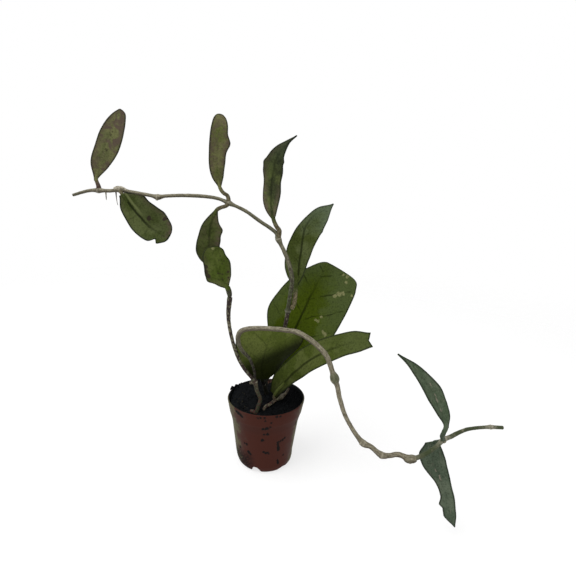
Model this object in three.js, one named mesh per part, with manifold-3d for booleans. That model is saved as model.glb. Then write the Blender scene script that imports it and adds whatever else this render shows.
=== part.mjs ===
// Potted hoya: cuttings of a trailing wax plant in a small round nursery pot.
// Millimetres, +Z up. The origin is the middle of the pot's foot, on the surface it stands on.
// The viewer of the plant stands on the -Y side, and +X is the viewer's right.
import * as THREE from 'three';
import { mergeVertices } from 'three/addons/utils/BufferGeometryUtils.js';
import Module from 'manifold-3d';

const wasm = await Module();
wasm.setup();

// Driving dimensions of the pot: a collar above a stepped, tapering body with a rounded foot.
const RIM_RADIUS = 30;
const POT_HEIGHT = 55;
const WALL = 1;
const LIP_ROUNDING = 0.4;
const COLLAR_DEPTH = 11.5;
const COLLAR_TAPER = 1.8;
const COLLAR_STEP = 2.2;
const STEP_HEIGHT = 4.2;
const FOOT_RADIUS = 19.7;
const FOOT_FLARE = 3.1;
const FOOT_ROUNDING = 8.6;
const POT_SIDES = 32;

// The underside: a flat pad in the middle, a raised ring with drain holes, a notched foot ring.
const PAD_RADIUS = 7;
const FOOT_RING = 2;
const RING_SLOPE = 0.6;
const UNDERSIDE_LIFT = 1.2;
const DRAIN_HOLES = 4;
const DRAIN_RADIUS = 2.6;
const FOOT_NOTCHES = 6;
const NOTCH_WIDTH = 7.5;
const NOTCH_HEIGHT = 2.4;
const NOTCH_INNER = FOOT_RADIUS - 0.6;
const NOTCH_OUTER = FOOT_RADIUS + 3;
const FRONT_NOTCH_ANGLE = -Math.PI / 2 - 0.43;

// The soil, and the clearance that lies between pieces which touch on the real plant.
const SOIL_LEVEL = POT_HEIGHT - 3;
const SOIL_SLOPE = 0.05;
const SOIL_CRUMBS = 0.6;
const SOIL_RINGS = 7;
const SOIL_SHOULDER = 3.5;
const CLEARANCE = 0.3;

// Leaf blades: thickness at the margin and along the midrib, how fast it falls between them, and
// the grid of a blade. Ripples of the margins fade where a blade is narrower than CALM_HALF.
const MARGIN_THICKNESS = 0.8;
const MIDRIB_THICKNESS = 1.6;
const THINNING = 0.6;
const ROWS_ALONG = 16;
const COLUMNS_ACROSS = 6;
const NARROWEST_HALF = 0.45;
const CALM_HALF = 8;
const RIPPLE_SHIFT = 1.3;
const NOTCH_SHARPNESS = 12;

// A stalk runs into the midrib between these two places along it.
const STALK_ENTERS = 0.03;
const STALK_ENDS = 0.16;

// Stems: number of sides, length of one step along the stem, reach of the swelling at a node.
const STEM_SIDES = 7;
const STALK_SIDES = 6;
const TWIG_SIDES = 5;
const STEM_STEP = 3.6;
const SWELLING_REACH = 2.83;

// Vertices of a closed surface that are nearer than this are one vertex.
const SAME_VERTEX = 1e-4;

const vector = (point) => new THREE.Vector3(...point);

// A closed geometry as a solid that can be joined and cut.
function toSolid(geometry) {
  const bare = geometry.clone();
  bare.deleteAttribute('normal');
  bare.deleteAttribute('uv');
  const merged = mergeVertices(bare, SAME_VERTEX);
  return new wasm.Manifold(new wasm.Mesh({
    numProp: 3,
    vertProperties: new Float32Array(merged.attributes.position.array),
    triVerts: new Uint32Array(merged.index.array),
  }));
}

// A solid as a named piece with its own material.
function piece(name, solid, color, roughness, metalness = 0) {
  const { vertProperties, triVerts } = solid.getMesh();
  const geometry = new THREE.BufferGeometry();
  geometry.setAttribute('position', new THREE.BufferAttribute(new Float32Array(vertProperties), 3));
  geometry.setIndex(new THREE.BufferAttribute(new Uint32Array(triVerts), 1));
  geometry.computeVertexNormals();
  const mesh = new THREE.Mesh(geometry, new THREE.MeshStandardMaterial({ color, roughness, metalness }));
  mesh.name = name;
  return mesh;
}

// A round solid about the pot's axis from [radius, height] pairs that run from axis to axis.
function turned(profile) {
  const points = profile.map(([radius, height]) => new THREE.Vector2(radius, height));
  return new THREE.LatheGeometry(points, POT_SIDES).rotateX(Math.PI / 2);
}

// A smooth value through an evenly spaced list, read at 0 to 1 along it.
function sample(values, at) {
  const place = THREE.MathUtils.clamp(at, 0, 1) * (values.length - 1);
  const before = Math.min(Math.floor(place), values.length - 2);
  const t = place - before;
  const [start, end] = [values[before], values[before + 1]];
  const startSlope = (end - (values[before - 1] ?? start)) / 2;
  const endSlope = ((values[before + 2] ?? end) - start) / 2;
  const bend = startSlope * t * (1 - t) ** 2 - endSlope * t * t * (1 - t);
  return start + (end - start) * t * t * (3 - 2 * t) + bend;
}

// A round stem along a route, made by bending a cylinder: `radii` run evenly from end to end,
// `nodes` are points where the stem swells, and `grow` widens and lengthens the whole.
function stem({ route, radii, nodes = [], swell = 1.1, sides = STEM_SIDES }, grow = 0) {
  const curve = new THREE.CatmullRomCurve3(route.map(vector), false, 'centripetal');
  const steps = Math.max(3, Math.round(curve.getLength() / STEM_STEP));
  const frames = curve.computeFrenetFrames(steps, false);
  const geometry = new THREE.CylinderGeometry(1, 1, 1, sides, steps);
  const { position } = geometry.attributes;
  const swellings = nodes.map(vector);
  for (let index = 0; index < position.count; index += 1) {
    const step = Math.round((0.5 - position.getY(index)) * steps);
    const centre = curve.getPointAt(step / steps);
    const nearness = swellings.map((node) => Math.exp(-node.distanceToSquared(centre) / SWELLING_REACH ** 2));
    const knot = nearness.reduce((sum, near) => sum + near, 0);
    const radius = sample(radii, step / steps) + swell * knot + grow;
    const overrun = step === 0 ? -grow : (step === steps ? grow : 0);
    centre.addScaledVector(frames.tangents[step], overrun);
    centre.addScaledVector(frames.normals[step], position.getX(index) * radius);
    centre.addScaledVector(frames.binormals[step], position.getZ(index) * radius);
    position.setXYZ(index, centre.x, centre.y, centre.z);
  }
  return toSolid(geometry);
}

// Several stems grown together as one solid.
function branches(parts, grow = 0) {
  return parts.map((part) => stem(part, grow)).reduce((whole, next) => whole.add(next));
}

// The border of a grid of vertices, counter-clockwise seen from its front.
function rimOf(columns, rows) {
  const at = (column, row) => row * (columns + 1) + column;
  const loop = [];
  for (let column = 0; column < columns; column += 1) loop.push(at(column, rows));
  for (let row = rows; row > 0; row -= 1) loop.push(at(columns, row));
  for (let column = columns; column > 0; column -= 1) loop.push(at(column, 0));
  for (let row = 0; row < rows; row += 1) loop.push(at(0, row));
  return loop;
}

const BLADE_RIM = rimOf(COLUMNS_ACROSS, ROWS_ALONG);

// A leaf blade. `rib` is the midrib from base to tip, `face` is where the upper side looks, and
// `left` and `right` are half-breadths from base to tip, seen from the upper side with the tip up.
// `spread` is the way the right half goes where that isn't square to the midrib, `cup` lifts the
// margins, `waves` and `wave` ripple them, `notch` is the depth of a dent in the tip, and a
// `round` blade has its stations crowded at the tip, so that its end is blunt.
function blade(shape) {
  const { rib, face, spread, left, right, notch = 0, round = false } = shape;
  const { cup = 0.1, wave = 0.6, waves = 2 } = shape;
  const spine = new THREE.CatmullRomCurve3(rib.map(vector), false, 'centripetal');
  const sheet = new THREE.PlaneGeometry(1, 1, COLUMNS_ACROSS, ROWS_ALONG);
  const grid = sheet.attributes.position;
  const upper = [];
  const lower = [];
  for (let index = 0; index < grid.count; index += 1) {
    const along = grid.getY(index) + 0.5;
    const across = 2 * grid.getX(index);
    const station = round ? Math.sin(along * Math.PI / 2) : along;
    const tangent = spine.getTangentAt(station);
    const side = (spread ? vector(spread) : tangent.clone().cross(vector(face))).normalize();
    const up = side.clone().cross(tangent).normalize();
    const half = Math.max(NARROWEST_HALF, sample(across < 0 ? left : right, along));
    const ripple = wave * Math.sin(along * waves * 2 * Math.PI + (across < 0 ? 0 : RIPPLE_SHIFT));
    const lift = (cup * half + ripple * Math.min(1, half / CALM_HALF)) * across * across;
    const thinned = Math.abs(across) ** THINNING;
    const thickness = THREE.MathUtils.lerp(MIDRIB_THICKNESS, MARGIN_THICKNESS, thinned);
    const middle = spine.getPointAt(station).addScaledVector(side, across * half).addScaledVector(up, lift);
    middle.addScaledVector(tangent, -notch * (1 - Math.abs(across)) * along ** NOTCH_SHARPNESS);
    upper.push(...middle.clone().addScaledVector(up, thickness / 2));
    lower.push(...middle.clone().addScaledVector(up, -thickness / 2));
  }
  const triangles = [...sheet.index.array];
  for (let corner = 0; corner < sheet.index.count; corner += 3) {
    const [a, b, c] = sheet.index.array.slice(corner, corner + 3);
    triangles.push(grid.count + a, grid.count + c, grid.count + b);
  }
  BLADE_RIM.forEach((here, index) => {
    const next = BLADE_RIM[(index + 1) % BLADE_RIM.length];
    triangles.push(next, here, grid.count + here, next, grid.count + here, grid.count + next);
  });
  const geometry = new THREE.BufferGeometry();
  geometry.setAttribute('position', new THREE.Float32BufferAttribute([...upper, ...lower], 3));
  geometry.setIndex(triangles);
  return toSolid(geometry);
}

// A leaf: its blade with its stalk, which runs from the stem into the midrib, cut clear of the stem.
function leaf({ stalk, stalkRadii = [1.5, 1.1, 1.2, 0.7], ...shape }, bearer) {
  const spine = new THREE.CatmullRomCurve3(shape.rib.map(vector), false, 'centripetal');
  const run = [...stalk, spine.getPointAt(STALK_ENTERS).toArray(), spine.getPointAt(STALK_ENDS).toArray()];
  const stalkSolid = stem({ route: run, radii: stalkRadii, sides: STALK_SIDES });
  return blade(shape).add(stalkSolid).subtract(bearer);
}

// Pot: collar with a thin lip, chamfered step, tapering wall, rounded foot.
const collarFoot = POT_HEIGHT - COLLAR_DEPTH;
const collarRadius = RIM_RADIUS - COLLAR_TAPER;
const bodyRadius = collarRadius - COLLAR_STEP;
const lowerRadius = FOOT_RADIUS + FOOT_FLARE;
const ringInner = FOOT_RADIUS - FOOT_RING;
const floorTop = UNDERSIDE_LIFT + WALL;

// The inside of the pot from its floor to the foot of its collar, as [radius, height].
const innerWall = [
  [ringInner - RING_SLOPE, floorTop],
  [FOOT_RADIUS + WALL, floorTop + FOOT_RING],
  [lowerRadius - WALL, FOOT_ROUNDING],
  [bodyRadius - WALL, collarFoot - STEP_HEIGHT + LIP_ROUNDING],
  [collarRadius - WALL, collarFoot + LIP_ROUNDING],
];

const potProfile = [
  [0, 0],
  [PAD_RADIUS, 0],
  [PAD_RADIUS + RING_SLOPE, UNDERSIDE_LIFT],
  [ringInner - RING_SLOPE, UNDERSIDE_LIFT],
  [ringInner, 0],
  [FOOT_RADIUS, 0],
  [FOOT_RADIUS + FOOT_FLARE / 2, FOOT_ROUNDING * 0.22],
  [FOOT_RADIUS + FOOT_FLARE * 0.85, FOOT_ROUNDING * 0.6],
  [lowerRadius, FOOT_ROUNDING],
  [bodyRadius, collarFoot - STEP_HEIGHT - LIP_ROUNDING],
  [collarRadius - LIP_ROUNDING, collarFoot - LIP_ROUNDING],
  [collarRadius, collarFoot],
  [RIM_RADIUS, POT_HEIGHT - LIP_ROUNDING],
  [RIM_RADIUS - LIP_ROUNDING, POT_HEIGHT],
  [RIM_RADIUS - WALL, POT_HEIGHT],
  ...innerWall.toReversed(),
  [0, floorTop],
];

// One foot notch, arched, lying along the X axis.
function footNotch() {
  const side = NOTCH_WIDTH / 2;
  const spring = NOTCH_HEIGHT * 0.3;
  const outline = new THREE.Shape();
  outline.moveTo(-side, -1);
  outline.lineTo(side, -1);
  outline.lineTo(side, spring);
  outline.quadraticCurveTo(0, 2 * NOTCH_HEIGHT - spring, -side, spring);
  const depth = NOTCH_OUTER - NOTCH_INNER;
  const cutter = new THREE.ExtrudeGeometry(outline, { depth, bevelEnabled: false, curveSegments: 8 });
  return cutter.rotateX(Math.PI / 2).rotateZ(Math.PI / 2).translate(NOTCH_INNER, 0, 0);
}

function pot() {
  let solid = toSolid(turned(potProfile));
  const distance = (PAD_RADIUS + ringInner) / 2;
  for (let hole = 0; hole < DRAIN_HOLES; hole += 1) {
    const angle = (hole + 0.5) * 2 * Math.PI / DRAIN_HOLES;
    const drill = new THREE.CylinderGeometry(DRAIN_RADIUS, DRAIN_RADIUS, 3 * floorTop, 14);
    drill.rotateX(Math.PI / 2).translate(distance * Math.cos(angle), distance * Math.sin(angle), 0);
    solid = solid.subtract(toSolid(drill));
  }
  for (let notch = 0; notch < FOOT_NOTCHES; notch += 1) {
    const angle = FRONT_NOTCH_ANGLE + notch * 2 * Math.PI / FOOT_NOTCHES;
    solid = solid.subtract(toSolid(footNotch().rotateZ(angle)));
  }
  return solid;
}

// Height of the crumbly soil at a place: a few crossing ripples that fade out at the wall.
function soilHeight(x, y) {
  const { sin, cos } = Math;
  const coarse = sin(0.31 * x + 1.1 * sin(0.23 * y)) * cos(0.27 * y - 0.4 * sin(0.35 * x));
  const fine = sin(1.13 * x + 2 * sin(0.71 * y)) * sin(1.37 * y + 1.7 * cos(0.83 * x));
  return SOIL_LEVEL + SOIL_SLOPE * y + SOIL_CRUMBS * (coarse + 0.7 * fine);
}

// Soil: fills the pot below its level, with plain holes where the stems stand.
function soil(stems) {
  const shoulder = SOIL_LEVEL - SOIL_SHOULDER;
  const outside = THREE.MathUtils.mapLinear(shoulder, collarFoot, POT_HEIGHT, collarRadius, RIM_RADIUS);
  const edge = outside - WALL - CLEARANCE;
  const profile = [
    [0, floorTop + CLEARANCE],
    ...innerWall.map(([radius, height]) => [radius - CLEARANCE, height + CLEARANCE]),
    [edge, shoulder],
  ];
  for (let ring = SOIL_RINGS; ring >= 0; ring -= 1) profile.push([edge * ring / SOIL_RINGS, SOIL_LEVEL]);
  const geometry = turned(profile);
  const { position } = geometry.attributes;
  for (let index = 0; index < position.count; index += 1) {
    const onTop = position.getZ(index) > SOIL_LEVEL - CLEARANCE;
    if (onTop) position.setZ(index, soilHeight(position.getX(index), position.getY(index)));
  }
  return stems.reduce((solid, grown) => solid.subtract(grown), toSolid(geometry));
}

// The tall cutting: rises behind the broad leaves, leans left and reaches out at the top, with a
// bud and two short aerial roots near its end.
const TALL_NODES = {
  pair: [-1.5, 5, 63],
  first: [15, 1, 126],
  second: [6.5, -4, 181],
  third: [-29, -2, 205],
  fourth: [-82, 8, 207],
  hanging: [-111, 14, 211],
  rising: [-129, 18, 210],
};
const TALL_VINE = [
  {
    route: [
      [0, 9, 36], [0, 9, 50], TALL_NODES.pair, [2, 5, 77], [7, 5, 92], [13, 3, 112],
      TALL_NODES.first, [16.5, 0, 132.5], [18, -2, 142], [18, -4, 151], [16, -5, 159.5], [12.5, -5, 169],
      TALL_NODES.second, [5, -4, 185], [-8, -4, 194], [-17, -4, 200], TALL_NODES.third, [-38, 0, 208],
      [-57, 4, 209], [-76, 7, 208], TALL_NODES.fourth, [-88, 9, 208], [-104, 13, 210],
      TALL_NODES.hanging, [-120, 16, 210], TALL_NODES.rising, [-137, 20, 209.5], [-152, 24, 205.5],
    ],
    radii: [2, 1.9, 1.6, 1.5, 1.5, 1.3, 1.3, 1.2, 1.1, 1, 0.7],
    nodes: Object.values(TALL_NODES),
    swell: 0.7,
  },
  {
    route: [[-110, 14, 211], [-112, 14, 212.5], [-115, 14, 212.5]],
    radii: [1.2, 1, 0.7],
    sides: STALK_SIDES,
  },
  {
    route: [[-115, 15, 210.5], [-115.5, 15, 206], [-116, 14, 201]],
    radii: [0.6, 0.5, 0.4],
    sides: TWIG_SIDES,
  },
  {
    route: [[-123, 16, 210], [-123, 17, 207], [-124, 16, 205]],
    radii: [0.6, 0.5, 0.4],
    sides: TWIG_SIDES,
  },
];

// The forked cutting: a thin stem that ends in one leaf, a long vine that arches to the front and
// trails to the right, a stub at the fork and a stub on the soil.
const FORK = [-8, -17, 75.5];
const FORKED_NODES = {
  hip: [46, -60, 101],
  low: [65, -72, 63.5],
  kink: [76.5, -75, 57.5],
  knuckle: [94, -78, 57.5],
  pair: [114, -74, 69],
  last: [149, -61, 71],
};
const FORKED_VINE = [
  {
    route: [
      [-7, -19, 36], [-6.5, -19, 50], [-5.5, -17.5, 54], [-3.5, -16, 60.5], [-4.5, -16, 67], FORK,
      [-10, -18, 79], [-15, -19.5, 86], [-20, -19.5, 95], [-25, -20, 112], [-27, -20.5, 127.5],
      [-26, -20.5, 142],
    ],
    radii: [1.7, 1.6, 1.4, 1.3, 1.2, 1, 0.9, 0.9, 1, 1.1],
    nodes: [FORK],
    swell: 0.9,
  },
  {
    route: [
      FORK, [-7, -19, 83], [-8, -22, 91], [-11, -24, 98], [-15.5, -26, 103], [-18.5, -28, 109],
      [-19, -31, 116], [-16.5, -34, 121.5], [-12, -36, 124], [-4.5, -38, 125.5], [5, -41, 126.5],
      [14, -44, 127], [21, -47, 127], [28, -50, 124.5], [35, -53, 120], [40.5, -56, 114.5],
      FORKED_NODES.hip, [48, -61, 96], [49.5, -63, 89.5], [54.5, -67, 77], FORKED_NODES.low, [69.5, -73, 62],
      FORKED_NODES.kink, [81, -76, 58], [86.5, -76, 59], FORKED_NODES.knuckle, [98.5, -78, 59],
      [109, -76, 65], FORKED_NODES.pair, [119, -72, 70], [125.5, -69, 71.5], [132, -66, 72], [139, -64, 72],
      FORKED_NODES.last, [159, -58, 69],
    ],
    radii: [1, 1.1, 1.3, 1.3, 1.2, 1.3, 1.4, 1.2, 1.2, 1.3, 1.4, 1.4, 1, 0.8, 0.7],
    nodes: Object.values(FORKED_NODES),
    swell: 1.1,
  },
  {
    route: [FORK, [-10.5, -17.5, 75], [-12, -18, 74]],
    radii: [1.2, 1, 0.7],
    sides: STALK_SIDES,
  },
  {
    route: [[-6.5, -19, 49.5], [-9, -18.5, 51.5], [-11.5, -18, 51.5]],
    radii: [1.1, 1.4, 1],
    sides: STALK_SIDES,
  },
];

// The old stump that lies on the soil, and bears the strap leaf.
const STUMP = [
  {
    route: [
      [-3.5, -17.5, 50], [-1.5, -14.5, 52.5], [3.5, -9.5, 53], [8, -3, 53.5], [11.5, 1, 53.5],
      [15.5, 6, 54.5], [18, 9.5, 57.5],
    ],
    radii: [1.3, 1.4, 1.5, 1.4, 1.9, 1.3, 0.8],
  },
];

// Leaves, each with its colour and the stem that bears it.
const LEAVES = {
  leaf_broad_back: {
    color: 0x4f6424,
    bearer: 'tall',
    stalk: [TALL_NODES.pair, [2.5, 6, 66], [6, 7, 67.5]],
    stalkRadii: [1.4, 1.3, 1.3, 1.3, 0.7],
    rib: [[8.5, 8, 71.5], [16, 11, 94], [25, 16, 115], [34, 21, 135], [46, 27, 159]],
    face: [-0.1, -0.9, 0.35],
    left: [0.5, 15, 26.5, 24.5, 19, 11, 4, 0.5],
    right: [0.5, 22, 29, 31, 31, 29, 19.5, 0.5],
    cup: 0.12,
    round: true,
  },
  leaf_broad_left: {
    color: 0x4d5e2e,
    bearer: 'tall',
    stalk: [TALL_NODES.pair, [-3, 1, 65.5]],
    rib: [[-3.5, -2, 70.5], [-3.5, -9, 85.5], [0, -12, 101.5], [5.7, -6.4, 113.7]],
    spread: [0.92, 0.36, -0.08],
    left: [5, 9.5, 12.5, 15, 17, 18.5, 20.5, 22, 22.5, 21],
    right: [4.5, 10, 15, 18.5, 21.5, 24.5, 27, 27, 22.5, 13],
    cup: -0.1,
  },
  leaf_strap_low: {
    color: 0x55652f,
    bearer: 'stump',
    stalk: [[8, -3, 53.5], [6.5, -3, 56.5]],
    rib: [[7, -3.5, 60], [15.5, -8, 72.5], [30.5, -16, 92], [52.5, -28, 110.5], [72.5, -37, 119.5]],
    face: [-0.3, -0.85, 0.45],
    left: [5, 9.5, 10.5, 10.5, 11, 10.5, 9.5, 8.5, 8, 5],
    right: [2.5, 4, 5.5, 7, 7.5, 8, 8, 7.5, 7, 5],
    notch: 2.5,
  },
  leaf_upper_middle: {
    color: 0x4a5c33,
    bearer: 'tall',
    stalk: [TALL_NODES.first, [18, 1, 131], [19, 1, 136]],
    stalkRadii: [1.6, 1.6, 1.6, 1.4, 0.7],
    rib: [[20, 1, 142], [22, 5, 154], [23, 8, 166], [28, 12, 192], [46, 12, 206]],
    face: [-0.3, -0.85, 0.4],
    left: [0.5, 8.5, 11.5, 11, 7.5, 4, 4, 0.5],
    right: [0.5, 4, 6.5, 9.5, 13, 14.5, 10.5, 0.5],
    cup: 0.15,
  },
  leaf_upper_twisted: {
    color: 0x414c30,
    bearer: 'tall',
    stalk: [TALL_NODES.second, [7, -5, 187], [5, -5, 190]],
    rib: [[3, -4, 193], [1, -8, 208], [2, -10, 225], [5, -12, 237], [11, -14, 245], [17, -18, 250]],
    face: [-0.4, -0.85, 0.2],
    left: [0.5, 4, 6, 6.5, 6.5, 8, 7, 5, 2, 0.5],
    right: [0.5, 3.5, 6, 7.5, 7.5, 8, 6, 3.5, 1, 0.5],
  },
  leaf_top_centre: {
    color: 0x5a5a3c,
    bearer: 'tall',
    stalk: [TALL_NODES.third, [-30, -2, 210], [-33, -2, 212]],
    rib: [[-35, -2, 214], [-37, -3, 227], [-36, -5, 240], [-34, -8, 263]],
    face: [0.2, -0.95, 0.1],
    left: [0.5, 4, 5.5, 6, 6, 5.5, 4.5, 3, 1, 0.5],
    right: [0.5, 4, 5.5, 6, 7.5, 6, 5.5, 4, 1.5, 0.5],
    round: true,
  },
  leaf_hanging_centre: {
    color: 0x3d442b,
    bearer: 'tall',
    stalk: [TALL_NODES.third, [-31, -4, 203], [-34, -5, 202]],
    rib: [[-37, -5, 201], [-41, -6, 190], [-42, -8, 179], [-43, -8, 162]],
    face: [0.15, -0.9, 0.35],
    left: [1, 4, 8, 8.5, 7.5, 8, 7, 6, 3, 0.5],
    right: [1, 3.5, 6.5, 8, 9, 9, 7.5, 5.5, 3, 0.5],
    round: true,
  },
  leaf_left_stem: {
    color: 0x566832,
    bearer: 'forked',
    stalk: [[-26.1, -20.5, 141.2], [-26.3, -20.4, 144]],
    stalkRadii: [0.7, 1.1, 1.1, 0.7],
    rib: [[-27, -20, 147], [-31, -22, 154], [-35, -22, 163], [-38, -20, 177]],
    face: [0.15, -0.85, 0.45],
    left: [0.5, 5, 9, 8, 8, 6.5, 4, 0.5],
    right: [0.5, 6.5, 9.5, 10, 8, 7, 4, 0.5],
    round: true,
  },
  leaf_top_left: {
    color: 0x5f5f41,
    bearer: 'tall',
    stalk: [TALL_NODES.rising, [-129, 18, 213]],
    rib: [[-130, 18, 217], [-126, 19, 232], [-121, 21, 246], [-111, 24, 268]],
    face: [0.25, -0.95, 0.1],
    left: [0.5, 5.5, 7.5, 7.5, 6, 4, 1.8, 0.5],
    right: [0.5, 6.5, 9.5, 9.5, 8, 6, 4, 0.5],
    round: true,
  },
  leaf_hanging_left: {
    color: 0x46552a,
    bearer: 'tall',
    stalk: [TALL_NODES.hanging, [-110.5, 12.5, 210]],
    rib: [[-109, 11, 208], [-103, 9, 200.5], [-95.5, 7, 192.5], [-88, 5, 185], [-77, 2, 177]],
    face: [0.1, -0.9, 0.4],
    left: [0.5, 11, 12.5, 14, 15, 13.5, 11.5, 9.5, 7, 0.5],
    right: [0.5, 6, 9, 10.5, 10.5, 9, 7.5, 3, 2.5, 0.5],
    round: true,
  },
  leaf_right_rising: {
    color: 0x4e5c48,
    bearer: 'forked',
    stalk: [FORKED_NODES.pair, [111, -79, 75], [110, -83, 80]],
    stalkRadii: [1.2, 1, 0.9, 1, 0.6],
    rib: [[111, -84, 83], [106, -86, 93], [98, -88, 108], [87, -89, 123], [76, -90, 132]],
    face: [0.3, -0.8, 0.5],
    left: [0.5, 1.5, 3, 4, 5, 5, 4.5, 3.5, 1.5, 0.5],
    right: [1.5, 5, 6.5, 6.5, 6.5, 5, 3.5, 2.5, 1, 0.5],
    cup: 0.2,
  },
  leaf_right_hanging: {
    color: 0x506049,
    bearer: 'forked',
    stalk: [FORKED_NODES.pair, [114, -70, 67.5], [112, -68.5, 65]],
    stalkRadii: [1.2, 1.1, 1, 1, 0.6],
    rib: [[109, -68.5, 61], [111.5, -70.5, 50.5], [116.5, -73, 39], [121.5, -76, 26.5], [127, -79, 9]],
    face: [-0.2, -0.85, 0.4],
    left: [6, 7, 7.5, 7, 6, 5, 4.5, 3.5, 2.5, 0.5],
    right: [5.5, 8.5, 7.5, 5.5, 4, 3.5, 5, 5, 4, 0.5],
  },
};

// Every stem as it is, and grown by the clearance as the cutter for what touches it.
const STEMS = { tall: TALL_VINE, forked: FORKED_VINE, stump: STUMP };
const cutters = Object.fromEntries(
  Object.entries(STEMS).map(([name, parts]) => [name, branches(parts, CLEARANCE)]),
);

const plant = new THREE.Group();
plant.add(
  piece('pot', pot(), 0x7a4a40, 0.6),
  piece('soil', soil(Object.values(cutters)), 0x1d1a17, 0.95),
  piece('vine_tall', branches(TALL_VINE), 0x7d7460, 0.7),
  piece('vine_forked', branches(FORKED_VINE), 0x8f8774, 0.7),
  piece('old_stump', branches(STUMP), 0x6a4c3a, 0.8),
);
for (const [name, { color, bearer, ...shape }] of Object.entries(LEAVES)) {
  plant.add(piece(name, leaf(shape, cutters[bearer]), color, 0.5));
}

export default plant;
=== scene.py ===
"""Potted hoya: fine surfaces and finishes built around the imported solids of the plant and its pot.

Lengths in this file are millimetres in the frame of the solids, until a mesh is written in metres.
"""

import math
import random

import bmesh
import bpy
import numpy as np
from mathutils import Matrix, Vector, noise


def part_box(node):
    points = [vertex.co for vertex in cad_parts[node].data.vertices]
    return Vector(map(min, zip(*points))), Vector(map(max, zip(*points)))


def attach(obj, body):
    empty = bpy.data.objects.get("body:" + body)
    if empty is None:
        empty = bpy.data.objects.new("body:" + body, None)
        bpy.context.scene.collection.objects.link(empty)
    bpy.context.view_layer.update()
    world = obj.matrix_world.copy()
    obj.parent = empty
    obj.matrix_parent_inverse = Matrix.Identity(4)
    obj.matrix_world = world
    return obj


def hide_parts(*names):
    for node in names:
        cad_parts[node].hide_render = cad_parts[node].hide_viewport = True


bl_info = {
    "name": "Potted Hoya",
    "version": (1, 0, 0),
    "blender": (4, 5, 0),
    "location": "3D View > Sidebar > Hoya",
    "description": "Builds a trailing hoya in a small nursery pot, leaf by leaf",
    "category": "Add Mesh",
}

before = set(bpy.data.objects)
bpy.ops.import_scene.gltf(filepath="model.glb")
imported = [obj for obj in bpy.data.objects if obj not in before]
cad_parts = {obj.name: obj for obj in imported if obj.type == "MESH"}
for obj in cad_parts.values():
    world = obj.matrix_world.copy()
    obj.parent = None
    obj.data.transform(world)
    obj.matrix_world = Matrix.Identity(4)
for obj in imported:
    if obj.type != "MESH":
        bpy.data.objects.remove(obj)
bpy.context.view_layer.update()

MM = 0.001
BODY = "root"
POT_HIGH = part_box("pot")[1] / MM

# Camera: place in millimetres, downward tilt and roll in degrees, focal length in photo pixels.
CAMERA_PLACE = (14.5, -309.8, 224.7)
CAMERA_TILT = 14.58
CAMERA_ROLL = 1.85
FOCAL_PIXELS = 430
PHOTO_PIXELS = 576
SENSOR_WIDTH = 36

# The floor fades into the white surroundings between these distances, in metres. The light of the
# surroundings goes from the low one to the high one between these heights of its direction.
FLOOR_FADES = (0.3, 0.85)
SKY_CHANGES = (0.34, 0.6)

# The pot leans this much to the left for each millimetre that it goes down from LEAN_FROM, and its
# foot comes back to the right from LEAN_BACK_FROM down.
LEAN = 0.028
LEAN_FROM = 50
LEAN_BACK = 0.11
LEAN_BACK_FROM = 12

# Grids: rows and columns of a leaf blade, then sides and ring spacing of stalks, stems and pegs.
LEAF_ROWS = 110
LEAF_COLUMNS = 48
STALK_SIDES = 14
STALK_STEP = 0.6
STEM_SIDES = 18
STEM_STEP = 0.7
PEG_SIDES = 14
PEG_STEP = 0.3
FEWEST_RINGS = 6

# Leaf blades: the narrowest half-breadth, how fast the thickness falls off beside the midrib, and the
# radius that rounds a margin. The margins wave in full from CALM_HALF up, the right one shifted
# against the left. Buckles and dimples are unevenness: size and depth. The groove and the keel have
# half-widths. A notched tip draws back the more suddenly, the larger NOTCH_SHARPNESS is.
NARROWEST_HALF = 0.45
THINNING = 0.6
MARGIN_ROUNDING = 0.5
CALM_HALF = 8
RIPPLE_HEIGHT = 0.6
RIPPLE_SHIFT = 1.3
BUCKLE_SIZE, BUCKLE_DEPTH = 9, 0.28
DIMPLE_SIZE, DIMPLE_DEPTH = 3.4, 0.1
GROOVE_HALF = 0.8
KEEL_HALF = 1.1
KEEL_HEIGHT = 0.35
NOTCH_SHARPNESS = 12

# Leaf markings: distance between side veins, how much scratches are shortened while they are drawn,
# and the share of a blade over which the painted shade at its base lightens.
VEIN_SPACING = 12.5
SCRATCH_STRETCH = 0.3
SHADED_REACH = 0.3

# Stems: how far a node swells, how far past it its ring lies, and the ring's half-length and height.
# The bark has furrows, FURROW_STRETCH times as long as wide, and lumps. The painted shade on the lower
# side of a level stem begins a little above its middle. HEADING_REACH is how far to both sides a
# heading is taken.
SWELLING_REACH = 2.83
RING_PAST_NODE = 0.2
RING_HALF = 0.45
RING_HEIGHT = 0.16
FURROWS_ROUND = 2.2
FURROW_STRETCH = 4
FURROW_DEPTH = 0.07
LUMP_SIZE = 1.6
LUMP_DEPTH = 0.06
PAINTED_SHADE_FROM = 0.45
HEADING_REACH = 0.4

# What is stored on the vertices for the materials: distances in millimetres and shares.
LEAF_READINGS = ("reach", "edge", "run", "under", "stalk", "tone", "flush", "turn_x", "turn_y", "low")
STEM_READINGS = ("run", "turn_x", "turn_y", "low", "ring", "green", "purple", "pale", "red", "painted_shade")

# Foot notches: their number, the way the front one faces, its height, that of the others, the height
# that they all have at their inner end, how far that lies inside the foot, how far they run, and the
# arch that they are cut with, as distances across and shares of the height.
NOTCHES = 6
FRONT_NOTCH_ANGLE = -math.pi / 2 - 0.28
FRONT_NOTCH_HEIGHT = 5.2
NOTCH_HEIGHT = 2.4
NOTCH_INNER_HEIGHT = 1.7
NOTCH_INSET = 2.6
NOTCH_RUN = 5.6
NOTCH_ARCH = [(-4, -0.3), (4, -0.3), (4, 0.25), (3, 0.7), (1.2, 1), (-1.2, 1), (-3, 0.7), (-4, 0.25)]

# Drain holes: their number and radius, and the radius of the pad in the middle of the floor.
DRAIN_HOLES = 4
DRAIN_RADIUS = 2.6
PAD_RADIUS = 7

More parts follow.
